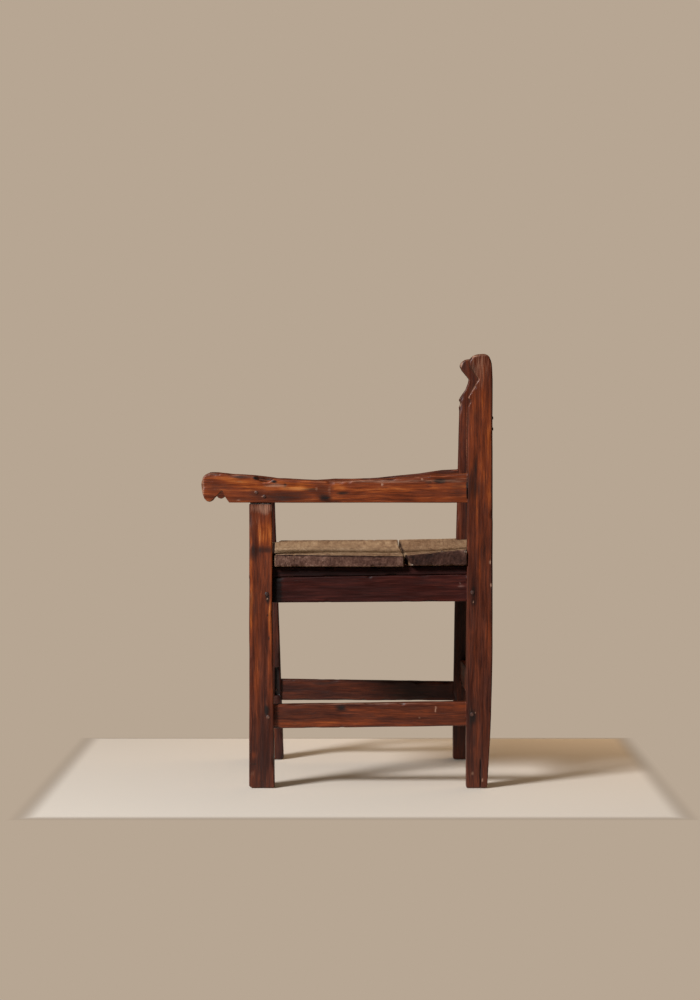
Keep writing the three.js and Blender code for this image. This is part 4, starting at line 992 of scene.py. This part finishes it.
def makeBoard(end, front, rear):
    # A board from side to side, between two edges given along x. Its underside lies as high as rise *
    # (middle of the board - riseFrom) / riseOver lifts it, and its ends round off.
    look = seat[end]
    reach = seat["reach"] - 0.4
    notch = seat["legInner" if end == "front" else "postInner"]
    stations = np.concatenate([evenStations(-reach + 4, reach - 4, 2.6), -reach + endSteps, reach - endSteps,
                               [-notch - 0.8, -notch + 0.2, notch - 0.2, notch + 0.8]])

    def edges(x):
        draw = roundedEnds(x, -reach, reach, 4, 3)
        y0, y1 = front(x), rear(x)
        lift = seat["rise"] * (0.5 * (y0 + y1) - seat["riseFrom"]) / seat["riseOver"]
        under = seat["height"] - seat["thickness"] + lift
        return y0 + draw, y1 - draw, under + draw * 0.6, seat["height"] - draw

    def bend(points):
        # lifts the top by the crown, and opens the joint in a wedge at the rear board's left end
        x, y, z = points[..., 0], points[..., 1], points[..., 2]
        up = np.clip((z - seat["height"] + seat["thickness"]) / seat["thickness"], 0, 1)
        lifted = z + up * crownAt(x, y, look["crown"], front(0.0), rear(0.0))
        if end == "rear":
            opened = np.clip((x - seat["reach"] + seat["splayLength"]) / seat["splayLength"], 0, 1)
            near = 1 - smoothStep(y, seat["joint"], seat["joint"] + 40)
            y = y + opened * near * (seat["splayUnder"] + (seat["splayTop"] - seat["splayUnder"]) * up)
        return np.stack([x, y, lifted], -1)

    def carve(points, normals):
        # a worn hollow, checks in the end grain where a stretched noise crosses zero, and the groove of the
        # dark line, whose dark is painted shade
        x, y, z = points.T
        top = smoothStep(normals[:, 2], 0.5, 0.9)
        sunk = seat["sunk"] * top * (0.5 + 0.5 * layered(points, [180, 120, 40], look["seed"] + 2, 2))
        checks = np.abs(layered(points, [40, 2.6, 9], look["seed"] + 6, 2))
        atEnd = smoothStep(np.abs(normals[:, 0]), 0.5, 0.9)
        cut = sunk + atEnd * 1.4 * smoothStep(0.12 - checks, 0, 0.1)
        if end == "front":
            line = seat["lineAt"] + seat["lineSkew"] * x / seat["legInner"]
            line = np.clip(1.4 - np.abs(y - line) / (seat["lineWidth"] / 2), 0, 1)
            cut += seat["lineDepth"] * top * line
        return cut

    timber(f"{end}Board", f"{end}_seat_board", 0, stations, edges, look, bend=bend, carve=carve,
           close=(seat["lineRows"] if end == "front" else (), ()))


def jointAt(x):
    # the joint between the boards runs a little askew
    return seat["joint"] - seat["skew"] * np.clip((seat["legInner"] - x) / (2 * seat["legInner"]), 0, 1)


def frontEdgeAt(x):
    # the front board runs out between the legs, and stops behind each leg
    behind = [legFrontAt(side, 460) + frontLeg["depth"] + 4 for side in sides]
    outside = np.where(np.asarray(x) > 0, *behind)
    return np.where(np.abs(x) < seat["legInner"] - 0.8, noseY + frontLeg["setback"] + 6.4, outside)


def rearEdgeAt(x):
    # the rear board runs back between the posts, and stops in front of each post
    back = spanOf("rear_seat_board")[1][1] - 0.6
    return np.where(np.abs(x) < seat["postInner"] - 0.8, back, postFaceY - 0.8)


makeBoard("front", frontEdgeAt, lambda x: jointAt(x) - 0.2)
makeBoard("rear", lambda x: jointAt(x) + seat["jointGap"], rearEdgeAt)
print("seat boards made")


# pegs

peg = {"sides": 8, "around": 32, "taper": 0.85, "flat": 0.65, "pale": 0.15, "stain": 0.45,
       # the head from its middle outwards: share of the radius, depth
       "head": [[0.001, 0], [0.35, 0.03], [0.7, 0.14], [0.9, 0.3], [0.98, 0.55], [1, 1.1], [1, 4]]}


def pegDirection(name):
    # axis of a peg, and its unit step from the head into the joint
    if "seat_board" in name:
        return 2, -1
    if "side_" in name or "_arm_" in name:
        return 0, -1 if name.startswith("left") else 1
    return 1, 1 if "front_seat_rail" in name else -1


def makePeg(node):
    # A whittled peg: an eight-sided outline with softened corners, radius * cos(half a facet) /
    # cos(angle from the facet's middle) blended with a circle. The head is domed, the body tapers.
    spans = spanOf(node)
    axis, way = pegDirection(node)
    head, tip = spans[axis][::way]
    p, q = (axis + 1) % 3, (axis + 2) % 3
    radius = (spans[p][1] - spans[p][0]) / 2
    angle = np.linspace(0, 2 * math.pi, peg["around"], endpoint=False)
    facet = 2 * math.pi / peg["sides"]
    flat = math.cos(facet / 2) / np.cos((angle + facet / 2) % facet - facet / 2) * 0.99
    outline = 1 - peg["flat"] + peg["flat"] * flat
    length = abs(head - tip)
    rows = np.array([*peg["head"], [peg["taper"], length], [0.001, length]])
    points = np.empty((len(rows), peg["around"], 3))
    points[..., axis] = (head + way * rows[:, 1])[:, None]
    points[..., p] = sum(spans[p]) / 2 + radius * rows[:, :1] * outline * np.cos(angle)
    points[..., q] = sum(spans[q]) / 2 + radius * rows[:, :1] * outline * np.sin(angle)
    faces, points = ringFaces(*points.shape[:2]), points.reshape(-1, 3)
    words = node.split("_")
    piece = addMesh(words[0] + "".join(w.title() for w in words[1:]), points,
                    faces if way > 0 else faces[:, ::-1])
    deep = smoothStep(np.repeat(rows[:, 0], peg["around"]), 0.8, 1.0)
    addPaint(piece, {"tone": layered(points, [6, 6, 6], 5, 2) * 0.3, "stain": peg["stain"] * deep,
                     "pale": peg["pale"] * (1 - deep), "endGrain": 0 * deep})
    piece.data.materials.append(woodFor("whittledPeg", axis))
    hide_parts(node)
    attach(piece, "root")


for node in sorted(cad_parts):
    if node.endswith("_peg"):
        makePeg(node)
print("pegs made")


# floor, light and camera

studio = {
    "floor": "#d0c7b9", "outerFloor": "#5b4a3b", "backdrop": "#b7a693", "floorReach": 6.0,
    # the pale floor gives way to the backdrop's colour between these places, in metres
    "farFade": (-0.655, -0.69), "nearFade": (0.70, 0.77), "leftFade": (0.60, 0.66),
    "rightFade": (0.57, 0.63),
    # a softbox near the camera's left gives the shadows their cores
    "keyAt": (4.35, -3.68, 3.9), "keyAim": (0, 0, 0.35), "keyWidth": 1.8, "keyPower": 646,
    "keyColour": "#fbfbff",
    # a broad light round it gives them their soft edges
    "broadFrom": (0.45, -0.4, 1.0), "broadAngle": 66, "broadStrength": 0.5, "broadColour": "#ffefda",
    # a weak warm light comes from behind
    "warmAt": (-1.0, 0.75, 0.8), "warmAim": (-0.35, 0.45, 0), "warmWidth": 1.6, "warmHeight": 0.8,
    "warmPower": 8.5, "warmColour": "#ffd9b0",
    # light from all round, stronger from where bounceFrom points
    "fillColour": "#ffe8d1", "fillStrength": 0.02, "bounceStrength": 0.06,
    "bounceFrom": (-0.85, 0.45, 0.27),
    "camera": (6.366, 0.033, 0.741), "lens": 109.55, "sensor": 36, "shift": (-0.014, -0.082),
}


def makeFloor():
    # A pale floor under the chair, darker further out. Seen by the camera, it gives way to the
    # backdrop's colour: the share is the largest of four eased steps, one for each side.
    bpy.ops.mesh.primitive_plane_add(size=2 * studio["floorReach"])
    floor = bpy.context.object
    floor.name = "floor"
    material = bpy.data.materials.new("paleFloorPaint")
    material.use_nodes = True
    tree = material.node_tree
    tree.nodes.clear()
    place = addNode(tree, "TexCoord").outputs["Object"]
    axes = addNode(tree, "SeparateXYZ", None, {0: place})
    share = None
    for side, axis in (("farFade", "X"), ("nearFade", "X"), ("leftFade", "Y"), ("rightFade", "Y")):
        start, end = studio[side]
        flip = -1 if side == "rightFade" else 1
        step = addNode(tree, "MapRange", {
            "interpolation_type": "SMOOTHSTEP", "From Min": flip * start, "From Max": flip * end},
            {"Value": axes.outputs[axis]})
        if share:
            step = addNode(tree, "Math", {"operation": "MAXIMUM"}, {0: share, 1: step})
        share = step
    colour = addNode(tree, "Mix", {
        "data_type": "RGBA", 6: colourOf(studio["floor"]), 7: colourOf(studio["outerFloor"])},
        {0: share}).outputs[2]
    ray = addNode(tree, "LightPath")
    share = addNode(tree, "Math", {"operation": "MULTIPLY"},
                    {0: share, 1: ray.outputs["Is Camera Ray"]})
    paint = addNode(tree, "BsdfPrincipled", {"Roughness": 0.8}, {"Base Color": colour})
    behind = addNode(tree, "Emission", {"Color": colourOf(studio["backdrop"]), "Strength": 1})
    mix = addNode(tree, "MixShader", None, {0: share, 1: paint, 2: behind})
    addNode(tree, "OutputMaterial", None, {"Surface": mix})
    floor.data.materials.append(material)


def makeWorld():
    # light from all round: fill, eased up to bounce with the cosine of the angle to bounceFrom
    world = bpy.data.worlds.new("studio")
    bpy.context.scene.world = world
    world.use_nodes = True
    tree = world.node_tree
    tree.nodes.clear()
    ray = addNode(tree, "LightPath")
    way = addNode(tree, "TexCoord").outputs["Generated"]
    turn = addNode(tree, "VectorMath", {"operation": "DOT_PRODUCT", 1: studio["bounceFrom"]},
                   {0: way})
    level = addNode(tree, "MapRange", {
        "interpolation_type": "SMOOTHSTEP", "From Min": -0.3, "From Max": 0.6,
        "To Min": studio["fillStrength"], "To Max": studio["bounceStrength"]},
        {"Value": turn.outputs["Value"]})
    soft = addNode(tree, "Background", {"Color": colourOf(studio["fillColour"])},
                   {"Strength": level})
    seen = addNode(tree, "Background", {"Color": colourOf(studio["backdrop"]), "Strength": 1})
    mix = addNode(tree, "MixShader", None, {0: ray.outputs["Is Camera Ray"], 1: soft, 2: seen})
    addNode(tree, "OutputWorld", None, {"Surface": mix})


def makeLamps():
    # each lamp looks from its place to its aim, and only the warm one stays out of reflections
    key = bpy.data.lights.new("softbox", "AREA")
    key.shape, key.size, key.energy = "DISK", studio["keyWidth"], studio["keyPower"]
    broad = bpy.data.lights.new("broadLight", "SUN")
    broad.angle, broad.energy = math.radians(studio["broadAngle"]), studio["broadStrength"]
    warm = bpy.data.lights.new("warmLight", "AREA")
    warm.shape, warm.size, warm.size_y = "RECTANGLE", studio["warmWidth"], studio["warmHeight"]
    warm.energy = studio["warmPower"]
    for data, place, aim, colour in ((key, studio["keyAt"], studio["keyAim"], studio["keyColour"]),
                                     (broad, studio["broadFrom"], (0, 0, 0), studio["broadColour"]),
                                     (warm, studio["warmAt"], studio["warmAim"], studio["warmColour"])):
        data.color = colourOf(colour)[:3]
        lamp = bpy.data.objects.new(data.name, data)
        lamp.location = place
        lamp.rotation_euler = (Vector(place) - Vector(aim)).to_track_quat("Z", "Y").to_euler()
        lamp.visible_camera = False
        lamp.visible_glossy = data is not warm
        bpy.context.scene.collection.objects.link(lamp)


def makeCamera():
    # level, looking along -X, with the shift that the framing needs
    data = bpy.data.cameras.new("camera")
    data.sensor_width = studio["sensor"]
    data.lens = studio["lens"]
    data.shift_x, data.shift_y = studio["shift"]
    data.clip_end = 100
    camera = bpy.data.objects.new("camera", data)
    camera.location = studio["camera"]
    camera.rotation_euler = (math.radians(90), 0, math.radians(90))
    bpy.context.scene.collection.objects.link(camera)
    bpy.context.scene.camera = camera


makeFloor()
makeWorld()
makeLamps()
makeCamera()
bpy.context.scene.view_settings.view_transform = "Standard"
print("studio made")
